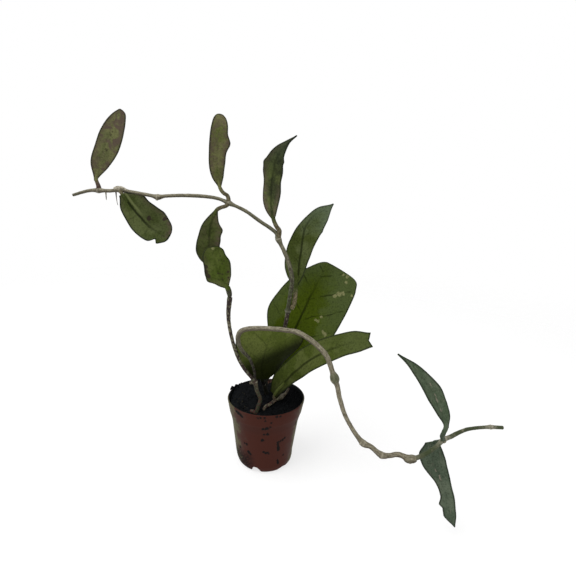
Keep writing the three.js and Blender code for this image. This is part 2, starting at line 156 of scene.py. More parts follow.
# The collar narrows this much from the rim down, and the whole wall widens this much up to the rim.
COLLAR_TAPER = 1.8
WIDENING = 0.4

# Marks of the wall, as pairs: where a mark is absent and where it is full. The painted sheen, lighter
# and greyer plastic towards the sides and a pale band at their edges, goes by the angle away from
# WALL_MIDDLE, which is a little right of the front, and the rest by metres.
WALL_MIDDLE = 0.12
SIDE_SHEEN_TURNS = (0.6, 1.0)
EDGE_SHEEN_BEGINS = (0.9, 1.2)
EDGE_SHEEN_ENDS = (2.1, 1.5)
FOOT_GRIME_HEIGHTS = (20 * MM, 11 * MM)
FOOT_GRIME_PLACES = (-5 * MM, -13 * MM)
INSIDE_DEPTHS = (0.12 * MM, 0.32 * MM)
INSIDE_HEIGHTS = (45 * MM, 46 * MM)

# Smears of soil on the pot: distance round the wall from its front at the radius POT_TURN, height,
# and radius.
POT_TURN = 27
POT_SMEARS = [
    (-20.5, 53, 1.4), (-19, 52.3, 1.7), (-17.2, 51.6, 1.5), (-16, 50.6, 1.2), (-4, 53, 0.9),
    (-2, 53.2, 0.9), (0.5, 53.2, 1), (1, 50.5, 0.8), (5, 48.5, 0.8), (8.5, 53.8, 1), (11, 53.6, 0.8),
    (-0.6, 42.7, 1.2), (1, 42.2, 0.9), (2.2, 43.4, 1.4), (4.6, 44.6, 0.7), (0, 37.3, 0.9),
    (3, 37.6, 1.3), (-1, 31.7, 1.4), (-15, 25, 1.1), (-17, 25.4, 0.8), (-13.4, 18.3, 1.5),
    (-12, 16.8, 1.2), (0, 20.6, 1.1), (1.8, 19.6, 1.2), (3.4, 20, 1.1), (4.4, 18.8, 0.8),
    (12, 28.6, 1.1), (12, 26.7, 1.2), (12.2, 24.8, 1.2), (12.6, 23, 1.4), (13, 21.3, 1.5),
    (14, 29, 1), (16, 29.5, 1.2), (18, 30.5, 1.1), (13, 11, 1), (13.5, 9.5, 1.3), (14, 8, 1.2),
    (19, 14, 0.9), (31, 38, 1.5), (-23, 19, 1.2),
]

# The soil's level in the middle, its rise for each millimetre towards the back, the radius that it
# fills, the number of rings of its surface, and the seed of its crumbs: of where they lie, and of the
# noise that dents them, which would start from the time of day without one.
SOIL_LEVEL = 52
SOIL_SLOPE = 0.05
SOIL_EDGE = 28.1
SOIL_RINGS = 62
SOIL_SEED = 11

# The soil is heaped against the wall at the left, and crumbs lie on the rim there: their number, and
# between which distances from the axis and which angles.
HEAP_PLACE = (-22, 16)
HEAP_REACH = 9
HEAP_HEIGHT = 3
SPILLED_CRUMBS = 60
SPILLED_REACH = (26.5, 29.4)
SPILLED_ANGLES = (2, 2.85)

# Clods on the rim: place and radius.
CLODS = [
    (-29.4, 9.2, 54.9, 0.9), (-28.5, 10.8, 55.4, 1.3), (-27, 12.4, 54.6, 1), (-25.8, 14.6, 55.2, 1.2),
    (-24.4, 16.4, 54.7, 0.9), (-29, 6.6, 54.5, 0.7),
]

# Pale grains lie at the left only.
GRIT_GRAINS = 26
GRIT_REACH = (18, 27)
GRIT_ANGLES = (2.6, 4.2)


def paint(red, green, blue):
    """A colour given 0 to 255 a channel, as the linear colour that a shader takes."""
    def linear(value):
        value /= 255
        return value / 12.92 if value <= 0.04045 else ((value + 0.055) / 1.055) ** 2.4
    return (linear(red), linear(green), linear(blue), 1)


def smooth(values, share):
    """A smooth value through an evenly spaced list, read at 0 to 1 along it."""
    values = np.asarray(values, float)
    last = len(values) - 1
    place = np.clip(share, 0, 1) * last
    before = np.minimum(np.floor(place).astype(int), last - 1)
    t = place - before
    low, high = values[before], values[before + 1]
    low_slope = (high - values[np.maximum(before - 1, 0)]) / 2
    high_slope = (values[np.minimum(before + 2, last)] - low) / 2
    bend = low_slope * t * (1 - t) ** 2 - high_slope * t * t * (1 - t)
    return low + (high - low) * t * t * (3 - 2 * t) + bend


def along(values):
    """A function that reads evenly spaced values at shares of a length."""
    return lambda share: smooth(values, share)


def everywhere(value):
    """A function that gives one value at every share."""
    return lambda share: np.full(share.shape, float(value))


def unit(vectors):
    """The same directions, one long."""
    return vectors / np.linalg.norm(vectors, axis=-1, keepdims=True)


class Route:
    """A smooth line through points, read by share of its length."""

    def __init__(self, points):
        knots = np.array(points, float)
        ends = np.vstack([2 * knots[0] - knots[1], knots, 2 * knots[-1] - knots[-2]])
        t = np.linspace(0, 1, 24, endpoint=False)[:, None]
        line = []
        for p0, p1, p2, p3 in zip(ends, ends[1:], ends[2:], ends[3:]):
            d0, d1, d2 = (np.linalg.norm(b - a) ** 0.5 for a, b in ((p0, p1), (p1, p2), (p2, p3)))
            start = d1 * ((p1 - p0) / d0 - (p2 - p0) / (d0 + d1) + (p2 - p1) / d1)
            end = d1 * ((p2 - p1) / d1 - (p3 - p1) / (d1 + d2) + (p3 - p2) / d2)
            square = (3 * (p2 - p1) - 2 * start - end) * t ** 2
            line.append(p1 + start * t + square + (2 * (p1 - p2) + start + end) * t ** 3)
        self.line = np.vstack([*line, knots[-1:]])
        self.run = np.concatenate([[0], np.cumsum(np.linalg.norm(np.diff(self.line, axis=0), axis=1))])
        self.length = self.run[-1]

    def at(self, share):
        """The place at a share of the length."""
        run = np.asarray(share) * self.length
        return np.stack([np.interp(run, self.run, self.line[:, axis]) for axis in range(3)], axis=-1)

    def heading(self, share):
        """The way the line goes at a share of the length."""
        reach = HEADING_REACH / self.length
        return unit(self.at(np.clip(share + reach, 0, 1)) - self.at(np.clip(share - reach, 0, 1)))

    def nearest(self, point):
        """The share of the line's length at which it passes nearest to a point."""
        return self.run[np.argmin(np.linalg.norm(self.line - np.array(point), axis=1))] / self.length


def rough(points, scale, seed):
    """Smooth random values, about -1 to 1, at points; a feature is about `scale` across."""
    shift = Vector((seed * 7.3, seed * 3.1, seed * 5.7))
    return np.array([noise.noise(Vector(point) / scale + shift) for point in points])


def new_bmesh(names):
    """An empty bmesh whose vertices hold the named readings."""
    bm = bmesh.new()
    for name in names:
        bm.verts.layers.float.new(name)
    return bm


def store(bm, verts, places, readings):
    """Puts vertices at their places and stores their readings."""
    layers = [bm.verts.layers.float[name] for name in readings]
    for vertex, place, row in zip(verts, places, zip(*readings.values())):
        vertex.co = place
        for layer, value in zip(layers, row):
            vertex[layer] = value


def grow(bm, route, radius, sides, step, values, seed, blunt=0.6):
    """A round stem along a route, its ends rounded off over `blunt` radii, from a grid rolled up.

    `radius` gives the radius at shares of the route, and `values` the readings stored on the vertices.
    """
    rings = max(FEWEST_RINGS, round(route.length / step))
    made = bmesh.ops.create_grid(bm, x_segments=sides, y_segments=rings, size=0.5)["verts"]
    flat = np.array([vertex.co[:2] for vertex in made]) + 0.5
    share = flat[:, 1]
    angle = flat[:, 0] * 2 * np.pi
    stations = np.linspace(0, 1, rings + 1)
    headings = route.heading(stations)
    side = np.cross(headings[0], (0, 0, 1) if abs(headings[0][2]) < 0.9 else (0, 1, 0))
    sides_at = []
    for heading in headings:
        side = side - heading * np.dot(side, heading)
        side = side / np.linalg.norm(side)
        sides_at.append(side)
    index = np.round(share * rings).astype(int)
    first = np.array(sides_at)[index]
    second = np.cross(headings[index], first)
    thick = radius(share)
    from_end = np.minimum(share, 1 - share) * route.length
    rounding = np.sqrt(np.clip(1 - (1 - np.clip(from_end / (blunt * thick), 0, 1)) ** 2, 0, 1))
    thick = thick * np.maximum(rounding, 0.04)
    out = first * np.cos(angle)[:, None] + second * np.sin(angle)[:, None]
    centre = route.at(share)
    surface = centre + out * thick[:, None]
    cosine, sine = np.cos(angle), np.sin(angle)
    unrolled = [cosine * FURROWS_ROUND, sine * FURROWS_ROUND, share * route.length / FURROW_STRETCH]
    furrows = rough(np.column_stack(unrolled), 1, seed)
    lumps = rough(surface, LUMP_SIZE, seed + 3)
    surface = surface + out * (thick * (FURROW_DEPTH * furrows + LUMP_DEPTH * lumps))[:, None]
    # Painted shade: how far a place lies on the lower side of a level stem is stored, to darken the bark
    # there.
    level = np.sqrt(1 - headings[index][:, 2] ** 2)
    readings = {"run": share * route.length, "turn_x": cosine, "turn_y": sine,
                "low": np.clip(PAINTED_SHADE_FROM * level - out[:, 2], 0, 1)}
    readings.update({name: value(share) for name, value in values.items()})
    store(bm, made, surface, readings)
    bmesh.ops.remove_doubles(bm, verts=made, dist=1e-4)
    alive = [vertex for vertex in made if vertex.is_valid]
    rims = {edge for vertex in alive for edge in vertex.link_edges if edge.is_boundary}
    bmesh.ops.holes_fill(bm, edges=list(rims), sides=0)


def finish_piece(bm, node, material):
    """Writes a bmesh in millimetres as a finished piece that stands for the solid of a node."""
    name = node + "_fine"
    bmesh.ops.recalc_face_normals(bm, faces=bm.faces)
    bmesh.ops.transform(bm, matrix=Matrix.Scale(MM, 4), verts=bm.verts)
    mesh = bpy.data.meshes.new(name)
    bm.to_mesh(mesh)
    bm.free()
    mesh.shade_smooth()
    mesh.materials.append(material)
    piece = bpy.data.objects.new(name, mesh)
    bpy.context.scene.collection.objects.link(piece)
    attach(piece, BODY)
    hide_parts(node)
    return piece


class Finish:
    """A node material being put together."""

    def __init__(self, name, roughness, gloss):
        self.material = bpy.data.materials.new(name)
        self.material.use_nodes = True
        self.tree = self.material.node_tree
        self.shader = self.tree.nodes["Principled BSDF"]
        self.shader.inputs["Roughness"].default_value = roughness
        self.shader.inputs["Specular IOR Level"].default_value = gloss
        self.place = self.node("ShaderNodeTexCoord").outputs["Object"]

    def node(self, kind, settings=None, **sockets):
        made = self.tree.nodes.new(kind)
        for key, value in (settings or {}).items():
            setattr(made, key, value)
        for key, value in sockets.items():
            self.feed(made.inputs[key.replace("_", " ")], value)
        return made

    def feed(self, socket, value):
        if isinstance(value, bpy.types.NodeSocket):
            self.tree.links.new(value, socket)
        else:
            socket.default_value = value

    def reading(self, name):
        return self.node("ShaderNodeAttribute", {"attribute_name": name}).outputs["Fac"]

    def math(self, operation, first, second=0.0, third=0.0):
        made = self.node("ShaderNodeMath", {"operation": operation})
        for socket, value in zip(made.inputs, (first, second, third)):
            self.feed(socket, value)
        return made.outputs[0]

    def times(self, first, second):
        return self.math("MULTIPLY", first, second)

    def plus(self, first, second):
        return self.math("ADD", first, second)

    def minus(self, first, second):
        return self.math("SUBTRACT", first, second)

    def more(self, first, second):
        return self.math("MAXIMUM", first, second)

    def between(self, value, low, high):
        """0 at `low` and 1 at `high`, smooth between them; `low` may be the larger."""
        made = self.node("ShaderNodeMapRange", {"interpolation_type": "SMOOTHSTEP"}, Value=value,
                         From_Min=min(low, high), From_Max=max(low, high),
                         To_Min=float(low > high), To_Max=float(low < high))
        return made.outputs["Result"]

    def noise(self, size, detail, distortion=0.0, at=None, roughness=0.5):
        """Noise with features about `size` millimetres across."""
        made = self.node("ShaderNodeTexNoise", Vector=at or self.place, Scale=1 / (size * MM),
                         Detail=detail, Distortion=distortion, Roughness=roughness)
        return made.outputs["Fac"]

    def cells(self, size):
        """How near scattered points lie that are about `size` millimetres apart, as a share of that."""
        made = self.node("ShaderNodeTexVoronoi", {"feature": "F1"}, Vector=self.place,
                         Scale=1 / (size * MM))
        return made.outputs["Distance"]

    def vector(self, x, y, z):
        return self.node("ShaderNodeCombineXYZ", X=x, Y=y, Z=z).outputs[0]

    def mix(self, share, first, second, blend="MIX"):
        made = self.node("ShaderNodeMix", {"data_type": "RGBA", "blend_type": blend})
        for index, value in ((0, share), (6, first), (7, second)):
            self.feed(made.inputs[index], value)
        return made.outputs[2]

    def done(self, color, height, depth, strength, roughness=None):
        """Joins the colour, a height whose 1 is `depth` millimetres, and a roughness that varies."""
        bump = self.node("ShaderNodeBump", Height=height, Distance=depth * MM, Strength=strength)
        self.feed(self.shader.inputs["Base Color"], color)
        self.feed(self.shader.inputs["Normal"], bump.outputs[0])
        if roughness is not None:
            self.feed(self.shader.inputs["Roughness"], roughness)
        return self.material


# Places where leaves and stubs stand on the stems.
PAIR = [-1.5, 5, 63]
FIRST = [15, 1, 126]
SECOND = [6.5, -4, 181]
THIRD = [-29, -2, 205]
FOURTH = [-82, 8, 207]
HANGING = [-111, 14, 211]
RISING = [-129, 18, 210]
FORK = [-8, -17, 75.5]
HIP = [46, -60, 101]
LOW = [65, -72, 63.5]
KINK = [76.5, -75, 57.5]
KNUCKLE = [94, -78, 57.5]
TRAIL_PAIR = [114, -74, 69]
LAST = [149, -61, 71]

# Leaves. `rib` is the midrib from base to tip, `face` is where the upper side looks, `left` and
# `right` are half-breadths from base to tip seen from the upper side with the tip up. `spread` is
# the way the right half goes where that isn't square to the midrib. `round` makes a round tip, `cup`
# lifts the margins, and `notch` draws the middle of the tip back. `nicks` are dents of a margin: side,
# place along, depth, and length as a share of the blade. `light` and `deep` are the two greens, and
# `tip_tint_and_sheen` is the tint towards the tip: partly the leaf's own colour, partly a painted sheen
# of the light from above. `heart` is how far the deep green keeps to the midrib. `scars_and_glints`
# and `spots` are marks: run from the base, reach from the midrib, and radius; the first are pale
# scarring, and a painted glint where a highlight is laid the same way. The `tone` and `flush` lists
# say, from base to tip, how bright and how reddened the blade or one half of it is; where a blade lies
# in shade, its tone lists paint that shade. `shaded` paints shade over the base of a blade: where the
# painted shade ends at the left margin and at the right one, and how bright it stays. The other
# readings say how much of a marking a leaf shows.
LEAVES = {
    "leaf_broad_back": {
        "stalk": [PAIR, [2.5, 6, 65], [7.5, 7, 65.5], [12, 8, 67.4]],
        "stalk_radii": [1.4, 1.3, 1.3, 1.3, 0.7],
        "rib": [[11.5, 8.5, 71.5], [16.5, 11, 94], [25, 16, 115], [34, 21, 135], [46, 27, 159]],
        "face": (-0.1, -0.9, 0.35),
        "left": [2.5, 15, 26.5, 24.5, 19, 11.5, 5.5, 0.5],
        "right": [0.5, 22, 29, 31, 31, 29.5, 24, 0.5],
        "cup": 0.12, "round": True,
        "light": (70, 82, 34), "deep": (60, 73, 9), "heart": 14, "tip_tint_and_sheen": (68, 79, 42),
        "veins": 0.75, "vein_spacing": 19, "midrib": 0.9, "specks": 0.25,
        "scars_and_glints": [
            (78.2, 19.3, 2), (75.2, 17.1, 1.6), (80, 21.5, 1.5), (88.8, 19.8, 1.2), (93.1, 15.2, 1.1),
            (93.1, 18.7, 1.2), (81.4, 28.5, 1.1), (43.8, 23, 1.6), (45, 20.5, 1), (54.8, 14.6, 1.1),
            (50.8, 13.7, 1.4), (50.8, 11.4, 1.1),
        ],
        "stalk_light": (112, 84, 72), "stalk_dark": (62, 44, 40),
    },
    "leaf_broad_left": {
        "stalk": [PAIR, [-3, 1, 65.5]],
        "rib": [[-3.5, -2, 70.5], [-3.5, -9, 85.5], [0, -12, 101.5], [5.7, -6.4, 113.7]],
        "spread": (0.92, 0.36, -0.08),
        "left": [5, 9.5, 12.5, 15.5, 18, 20, 22.5, 24.5, 25.5, 24.5],
        "right": [6, 11.5, 15.5, 18.5, 21.5, 25.5, 29, 29.5, 24, 13],
        "cup": -0.1,
        "light": (80, 88, 42), "deep": (68, 78, 30), "veins": 0.35, "midrib": 0.35, "specks": 0.2,
        # Painted shade: the tone, the shaded base and the near-black stalk stand in for the deep shade over
        # the base and lower right of this leaf.
        "tone": [0.8, 0.9, 1, 1.05, 1.1],
        "shaded": (0.3, 0.84, 0.2),
        "stalk_light": (22, 20, 18), "stalk_dark": (12, 12, 11), "stalk_tone": 0.12,
    },
    "leaf_strap_low": {
        "stalk": [[8, -3, 53.5], [6.6, -3.2, 55.5]],
        "rib": [
            [6.5, -3.8, 58], [15, -7.8, 72], [30.5, -16, 92], [52.5, -28, 110.5], [72.5, -37, 119.5],
        ],
        "face": (-0.3, -0.85, 0.45),
        "left": [5, 9.5, 10.5, 10.5, 11, 10.5, 9.5, 8.5, 8, 5],
        "right": [3.5, 4.5, 5.5, 7, 7.5, 8, 8, 7.5, 7, 5],
        "notch": 2.5,
        "light": (76, 84, 41), "deep": (62, 72, 26), "tip_tint_and_sheen": (73, 82, 42),
        "veins": 0.2, "midrib": 0.75, "specks": 0.15,
        # Painted shade: the tone lists darken the base of this blade, the right half most, where it lies in
        # shadow.
        "tone_left": [0.35, 0.8, 0.92, 1, 1, 0.95, 0.9],
        "tone_right": [0.2, 0.6, 0.8, 0.98, 1, 0.95, 0.9],
    },
    "leaf_upper_middle": {
        "stalk": [[17.3, 0, 127.5], [19, 0.5, 131], [20, 0.5, 136]],
        "stalk_radii": [1.9, 1.7, 1.6, 1.4, 0.7],
        "rib": [[20, 1, 142], [22, 5, 154], [23, 8, 166], [28, 12, 192], [46, 12, 206]],
        "face": (-0.3, -0.85, 0.4),
        "left": [0.5, 8.5, 11.5, 11, 7.5, 4, 4, 0.5],
        "right": [0.5, 4, 6.5, 9.5, 13, 14.5, 10.5, 0.5],
        "cup": 0.15,
        "light": (74, 82, 47), "deep": (58, 67, 28), "tip_tint_and_sheen": (76, 87, 66), "veins": 0.7, "midrib": 0.8,
        "specks": 0.15, "stalk_light": (116, 104, 84), "stalk_dark": (70, 70, 46),
    },
    "leaf_upper_twisted": {
        "stalk": [SECOND, [7, -5, 187], [5, -5, 190]],
        "stalk_radii": [1.8, 1.6, 1.4, 0.9],
        "rib": [
            [3, -4, 193], [1, -8, 208], [2, -10, 225], [5, -12, 237], [11, -14, 245], [17, -18, 250],
        ],
        "face": (-0.4, -0.85, 0.2),
        "left": [0.5, 4, 6, 6.5, 6.5, 8, 7, 5, 2, 0.5],
        "right": [0.5, 3.5, 6, 7.5, 7.5, 8, 6, 3.5, 1, 0.5],
        "nicks": [(-1, 0.62, -1, 0.03), (1, 0.69, -0.9, 0.03)],
        "light": (70, 78, 42), "deep": (46, 51, 31), "tip_tint_and_sheen": (54, 61, 45), "veins": 0.3, "midrib": 0.5,
        "specks": 0.3,
        "tone_left": [1.4, 1.4, 1, 0.85, 1.05], "tone_right": [1.4, 1.4, 0.9, 0.75, 0.8],
        "flush_left": [0.7, 0.9, 0.6, 0.3, 0], "flush_right": [0.6, 0.6, 0.1, 0, 0],
    },
    "leaf_top_centre": {
        "stalk": [THIRD, [-30, -2, 210], [-33, -2, 212]],
        "rib": [[-35, -2, 214], [-37, -3, 227], [-36, -5, 240], [-34, -8, 263]],
        "face": (0.2, -0.95, 0.1),
        "left": [0.5, 4, 5.5, 6, 6, 5.7, 5, 4, 2.4, 0.5],
        "right": [0.5, 4, 5.5, 6, 7.5, 6.2, 5.8, 4.6, 2.6, 0.5],
        "round": True,
        "nicks": [(1, 0.43, -0.7, 0.05), (1, 0.54, 0.15, 0.04), (1, 0.32, 0.2, 0.05)],
        "light": (99, 100, 63), "deep": (82, 88, 46), "veins": 0.1, "midrib": 0.15, "mottle": 0.55,
        "tone": [0.92, 0.95, 1.02, 1.3, 1.5],
        "specks": 0.1,
        "flush_left": [0.2, 0.7, 0.9, 0.5, 0.2], "flush_right": [0.2, 0.8, 0.9, 0.6, 0.3],
    },
    "leaf_hanging_centre": {
        "stalk": [THIRD, [-31, -4, 203], [-34, -5, 202]],
        "rib": [[-37, -5, 201], [-41, -6, 190], [-42, -8, 179], [-43, -8, 162]],
        "face": (0.15, -0.9, 0.35),
        "left": [1, 4, 8, 8.5, 7.5, 8, 7, 6, 3, 0.5],
        "right": [1, 3.5, 6.5, 8, 9, 9, 7.5, 5.5, 3, 0.5],
        "round": True,
        "nicks": [(-1, 0.23, -0.5, 0.05), (-1, 0.33, 0.8, 0.05)],
        "light": (65, 73, 36), "deep": (53, 60, 28), "veins": 0.3, "midrib": 0.5, "mottle": 0.15,
        "specks": 0.3, "flush_left": [0.4, 0.8, 0.8, 0.4, 0.2], "flush_right": [0.2, 0.2, 0.1, 0.1, 0.1],
    },
    "leaf_left_stem": {
        "stalk": [[-26.1, -20.5, 141.2], [-26.3, -20.4, 144]],
        "stalk_radii": [1.4, 1.9, 1.8, 1.1],
        "rib": [[-27, -20, 147], [-31, -22, 154], [-35, -22, 163], [-38, -20, 177]],
        "face": (0.15, -0.85, 0.45),
        "left": [0.5, 5, 9, 8, 8, 6.5, 4, 0.5],
        "right": [0.5, 6.5, 9.5, 10, 8, 7, 4, 0.5],
        "round": True,
        "nicks": [(-1, 0.24, -1.3, 0.04)],
        "light": (73, 82, 38), "deep": (58, 70, 23), "veins": 0.25, "midrib": 0.2, "specks": 0.6,
        "tone": [1.12, 1.05, 0.95, 0.85],
        "spots": [
            (20, -6.8, 1.4), (17.3, -7.9, 1.6), (14.5, -7.3, 1.4), (11.6, 6.3, 0.8), (7.6, 4.5, 0.8),
        ],
        # A painted highlight: the pale glint on the edge of the tip is laid as a mark of scarring.
        "scars_and_glints": [(31.2, 0, 1)],
        "flush_left": [0.3, 0.5, 0.4, 0.2, 0], "flush_right": [0.6, 0.3, 0.1, 0.1, 0.1],
        "stalk_light": (64, 66, 50), "stalk_dark": (44, 40, 36),
    },
    "leaf_top_left": {
        "stalk": [RISING, [-129, 18, 213]],
        "stalk_radii": [1.9, 1.4, 1.3, 1],
        "rib": [[-130.8, 18, 216.6], [-126.3, 19, 232], [-121, 21, 246], [-111, 24, 268]],
        "face": (0.25, -0.95, 0.1),
        "left": [1.2, 6, 6.8, 7.2, 6, 4, 1.8, 0.5],
        "right": [0.5, 6.5, 9.5, 9.5, 8, 6, 4, 0.5],
        "round": True,
        "light": (98, 99, 64), "deep": (86, 89, 56), "veins": 0.1, "midrib": 0.05, "mottle": 0.9,
        "tone": [0.84, 0.95, 1, 1, 1],
        "specks": 0.2, "spots": [(35.7, 0.7, 0.8), (38.2, 1, 0.7), (24.5, 1.7, 1)], "spot_share": 0.5,
        "flush_left": [0.9, 0.9, 0.6, 0.4, 0.5], "flush_right": [0.3, 0.2, 0.3, 0.6, 0.8],
        "stalk_light": (88, 76, 64), "stalk_dark": (60, 46, 42),
    },
    "leaf_hanging_left": {
        "stalk": [HANGING, [-110.5, 12.5, 210]],
        "rib": [[-109, 11, 208], [-103, 9, 200.5], [-95.5, 7, 192.5], [-86, 5, 184], [-74, 2, 177.5]],
        "face": (0.1, -0.9, 0.4),
        "left": [3, 11.5, 12.5, 14, 15, 14, 12, 9.5, 5.5, 0.5],
        "right": [2.5, 7, 9, 10.5, 10.5, 9.7, 8.6, 5.4, 3.2, 0.5],
        "nicks": [(1, 0.63, 3.8, 0.045)],
        "round": True,
        "light": (67, 74, 42), "deep": (51, 59, 26), "veins": 0.3, "midrib": 0.9, "band": 0.6,
        "specks": 0.4, "rim": 0.95,
        "spots": [(26.5, -3.7, 1.6), (25.8, -4.6, 1.2), (36.7, -11.2, 1.9), (38, -12, 1.3)],
        "tone_left": [0.95, 0.9, 0.88, 0.88, 0.9], "tone_right": [1.12, 1.16, 1.18, 1.05, 0.92],
        "flush_left": [0.6, 0.4, 0.6, 1, 1], "flush_right": [0.3, 0.1, 0, 0, 0.1],
    },
    "leaf_right_rising": {
        "stalk": [TRAIL_PAIR, [111, -79, 75], [110, -83, 80]],
        "stalk_radii": [1.4, 1.4, 1.4, 1.3, 0.8],
        "rib": [[111, -84, 83], [106, -86, 93], [98, -88, 108], [87, -89, 123], [76, -90, 132]],
        "face": (0.3, -0.8, 0.5),
        "left": [0.5, 1.5, 3, 4, 5, 5, 4.5, 3.5, 1.5, 0.5],
        "right": [1.5, 5, 6.3, 6.7, 6.5, 5.3, 4, 2.7, 1.4, 0.5],
        "cup": 0.2,
        "light": (82, 93, 74), "deep": (68, 82, 61), "veins": 0.05, "midrib": 0.2, "streaks": 1.0,
        "scratches": [(15.4, 0.5, 0.4), (23, 0.7, 0.5), (26, 1.1, 0.35), (33.4, 1.7, 0.4)],
        "stalk_light": (66, 76, 60), "stalk_dark": (46, 56, 44),
    },
    "leaf_right_hanging": {
        "stalk": [TRAIL_PAIR, [112.4, -72.4, 66.9], [110.4, -70.3, 64.9]],
        "stalk_radii": [1.2, 1.1, 1, 1, 0.6],
        "rib": [
            [109.4, -68.6, 63.6], [111.5, -70.5, 50.5], [116.5, -73, 39], [121.5, -76, 26.5], [127, -79, 9],
        ],
        "face": (-0.2, -0.85, 0.4),
        "left": [4.5, 6.5, 7.5, 7, 6, 5, 4.5, 3.5, 2.5, 0.5],
        "right": [4.5, 8.5, 7.8, 5.8, 4, 3.5, 5, 5, 4, 0.5],
        "nicks": [(1, 0.62, 0.5, 0.03), (1, 0.7, -1, 0.03), (1, 0.76, 0.4, 0.02), (1, 0.85, -0.6, 0.03)],
        "light": (86, 95, 79), "deep": (70, 81, 66), "veins": 0.05, "midrib": 0.15, "streaks": 0.8,
        "scratches": [(18.5, 0.7, 0.35), (24, -0.1, 0.5)],
        "tone_left": [0.92, 0.95, 1, 1.05, 1.08], "tone_right": [0.92, 0.95, 1.02, 1, 0.95],
        "stalk_light": (66, 76, 60), "stalk_dark": (46, 56, 44),
    },
}


def spots(skin, place, marks, softness, grain=1.6):
    """How much a flattened-out place lies in a ragged mark, each two distances and a radius."""
    wander = skin.times(skin.minus(skin.noise(grain, 3, roughness=0.7), 0.5), softness)
    covered = 0.0
    for first, second, radius in marks:
        away = skin.node("ShaderNodeVectorMath", {"operation": "DISTANCE"})
        skin.feed(away.inputs[0], place)
        away.inputs[1].default_value = (first, second, 0)
        from_mark = skin.plus(away.outputs["Value"], wander)
        covered = skin.more(covered, skin.between(from_mark, radius * 1.2, radius * 0.75))
    return covered


def leaf_veins(wax, look, reach, edge, run, length):
    """How much the midrib or a side vein shows at a place."""
    wander = wax.times(wax.minus(wax.noise(9, 2), 0.5), 5.0)
    sweep = wax.minus(run, wax.times(wax.math("ABSOLUTE", reach), 0.75))
    shifted = wax.plus(sweep, wax.times(wax.math("SIGN", reach), 2.4))
    spacing = look.get("vein_spacing", VEIN_SPACING)
    beat = wax.math("FRACT", wax.math("DIVIDE", wax.plus(shifted, wander), spacing))
    from_vein = wax.times(wax.math("ABSOLUTE", wax.minus(beat, 0.5)), spacing)
    side_vein = wax.times(wax.between(from_vein, 1.0, 0.1), wax.between(edge, 1.0, 5.0))
    side_vein = wax.times(side_vein, wax.between(wax.noise(7, 2), 0.34, 0.6))
    side_vein = wax.times(side_vein, look.get("veins", 0.3))
    bent = wax.math("ABSOLUTE", wax.plus(reach, wax.times(wander, 0.3)))
    midrib = wax.times(wax.between(bent, 1.3, 0.3), wax.between(run, length, 0.45 * length))
    return wax.more(wax.times(midrib, look.get("midrib", 0.5)), side_vein)


def leaf_marks(wax, look, settings, color, reach, edge, run, grain):
    """Lays the mottling, flush, specks, streaks, scarring, painted glints, scratches and spots over the
    greens.
    """
    blade_place = wax.vector(run, reach, 0.0)
    if look.get("mottle"):
        blurred = wax.between(wax.noise(7, 5, 0.6, roughness=0.65), 0.45, 0.6)
        color = wax.mix(wax.times(blurred, look["mottle"]), color, settings.blotch)
    ragged = wax.between(wax.noise(2.0, 3, 0.4, roughness=0.7), 0.34, 0.58)
    flush = wax.times(wax.times(wax.reading("flush"), wax.between(edge, 5.5, 0.6)), ragged)
    color = wax.mix(flush, color, settings.blotch)
    if look.get("specks"):
        dots = wax.times(wax.between(wax.cells(2.6), 0.34, 0.2), wax.between(wax.noise(5, 1), 0.5, 0.62))
        color = wax.mix(wax.times(dots, look["specks"]), color, settings.speck)
    if look.get("streaks"):
        drawn = wax.vector(wax.times(reach, 1.4 * MM), 0.0, wax.times(run, 0.2 * MM))
        line = wax.between(wax.noise(1.1, 2, at=drawn), 0.6, 0.72)
        color = wax.mix(wax.times(line, 0.5 * look["streaks"]), color, settings.streak)
    # Pale scarring, and painted glints laid the same way.
    if look.get("scars_and_glints"):
        scar_and_glint_share = wax.times(spots(wax, blade_place, look["scars_and_glints"], 3.4), wax.between(grain, 0.3, 0.5))
        color = wax.mix(wax.times(scar_and_glint_share, 0.85), color, settings.scar_and_glint)
    if look.get("scratches"):
        drawn = wax.vector(wax.times(run, SCRATCH_STRETCH), reach, 0.0)
        marks = [(place * SCRATCH_STRETCH, across, size) for place, across, size in look["scratches"]]
        color = wax.mix(wax.times(spots(wax, drawn, marks, 1.6), 0.8), color, settings.streak)
    if look.get("spots"):
        dark = wax.times(spots(wax, blade_place, look["spots"], 2.0), look.get("spot_share", 0.8))
        color = wax.mix(dark, color, settings.speck)
    return color


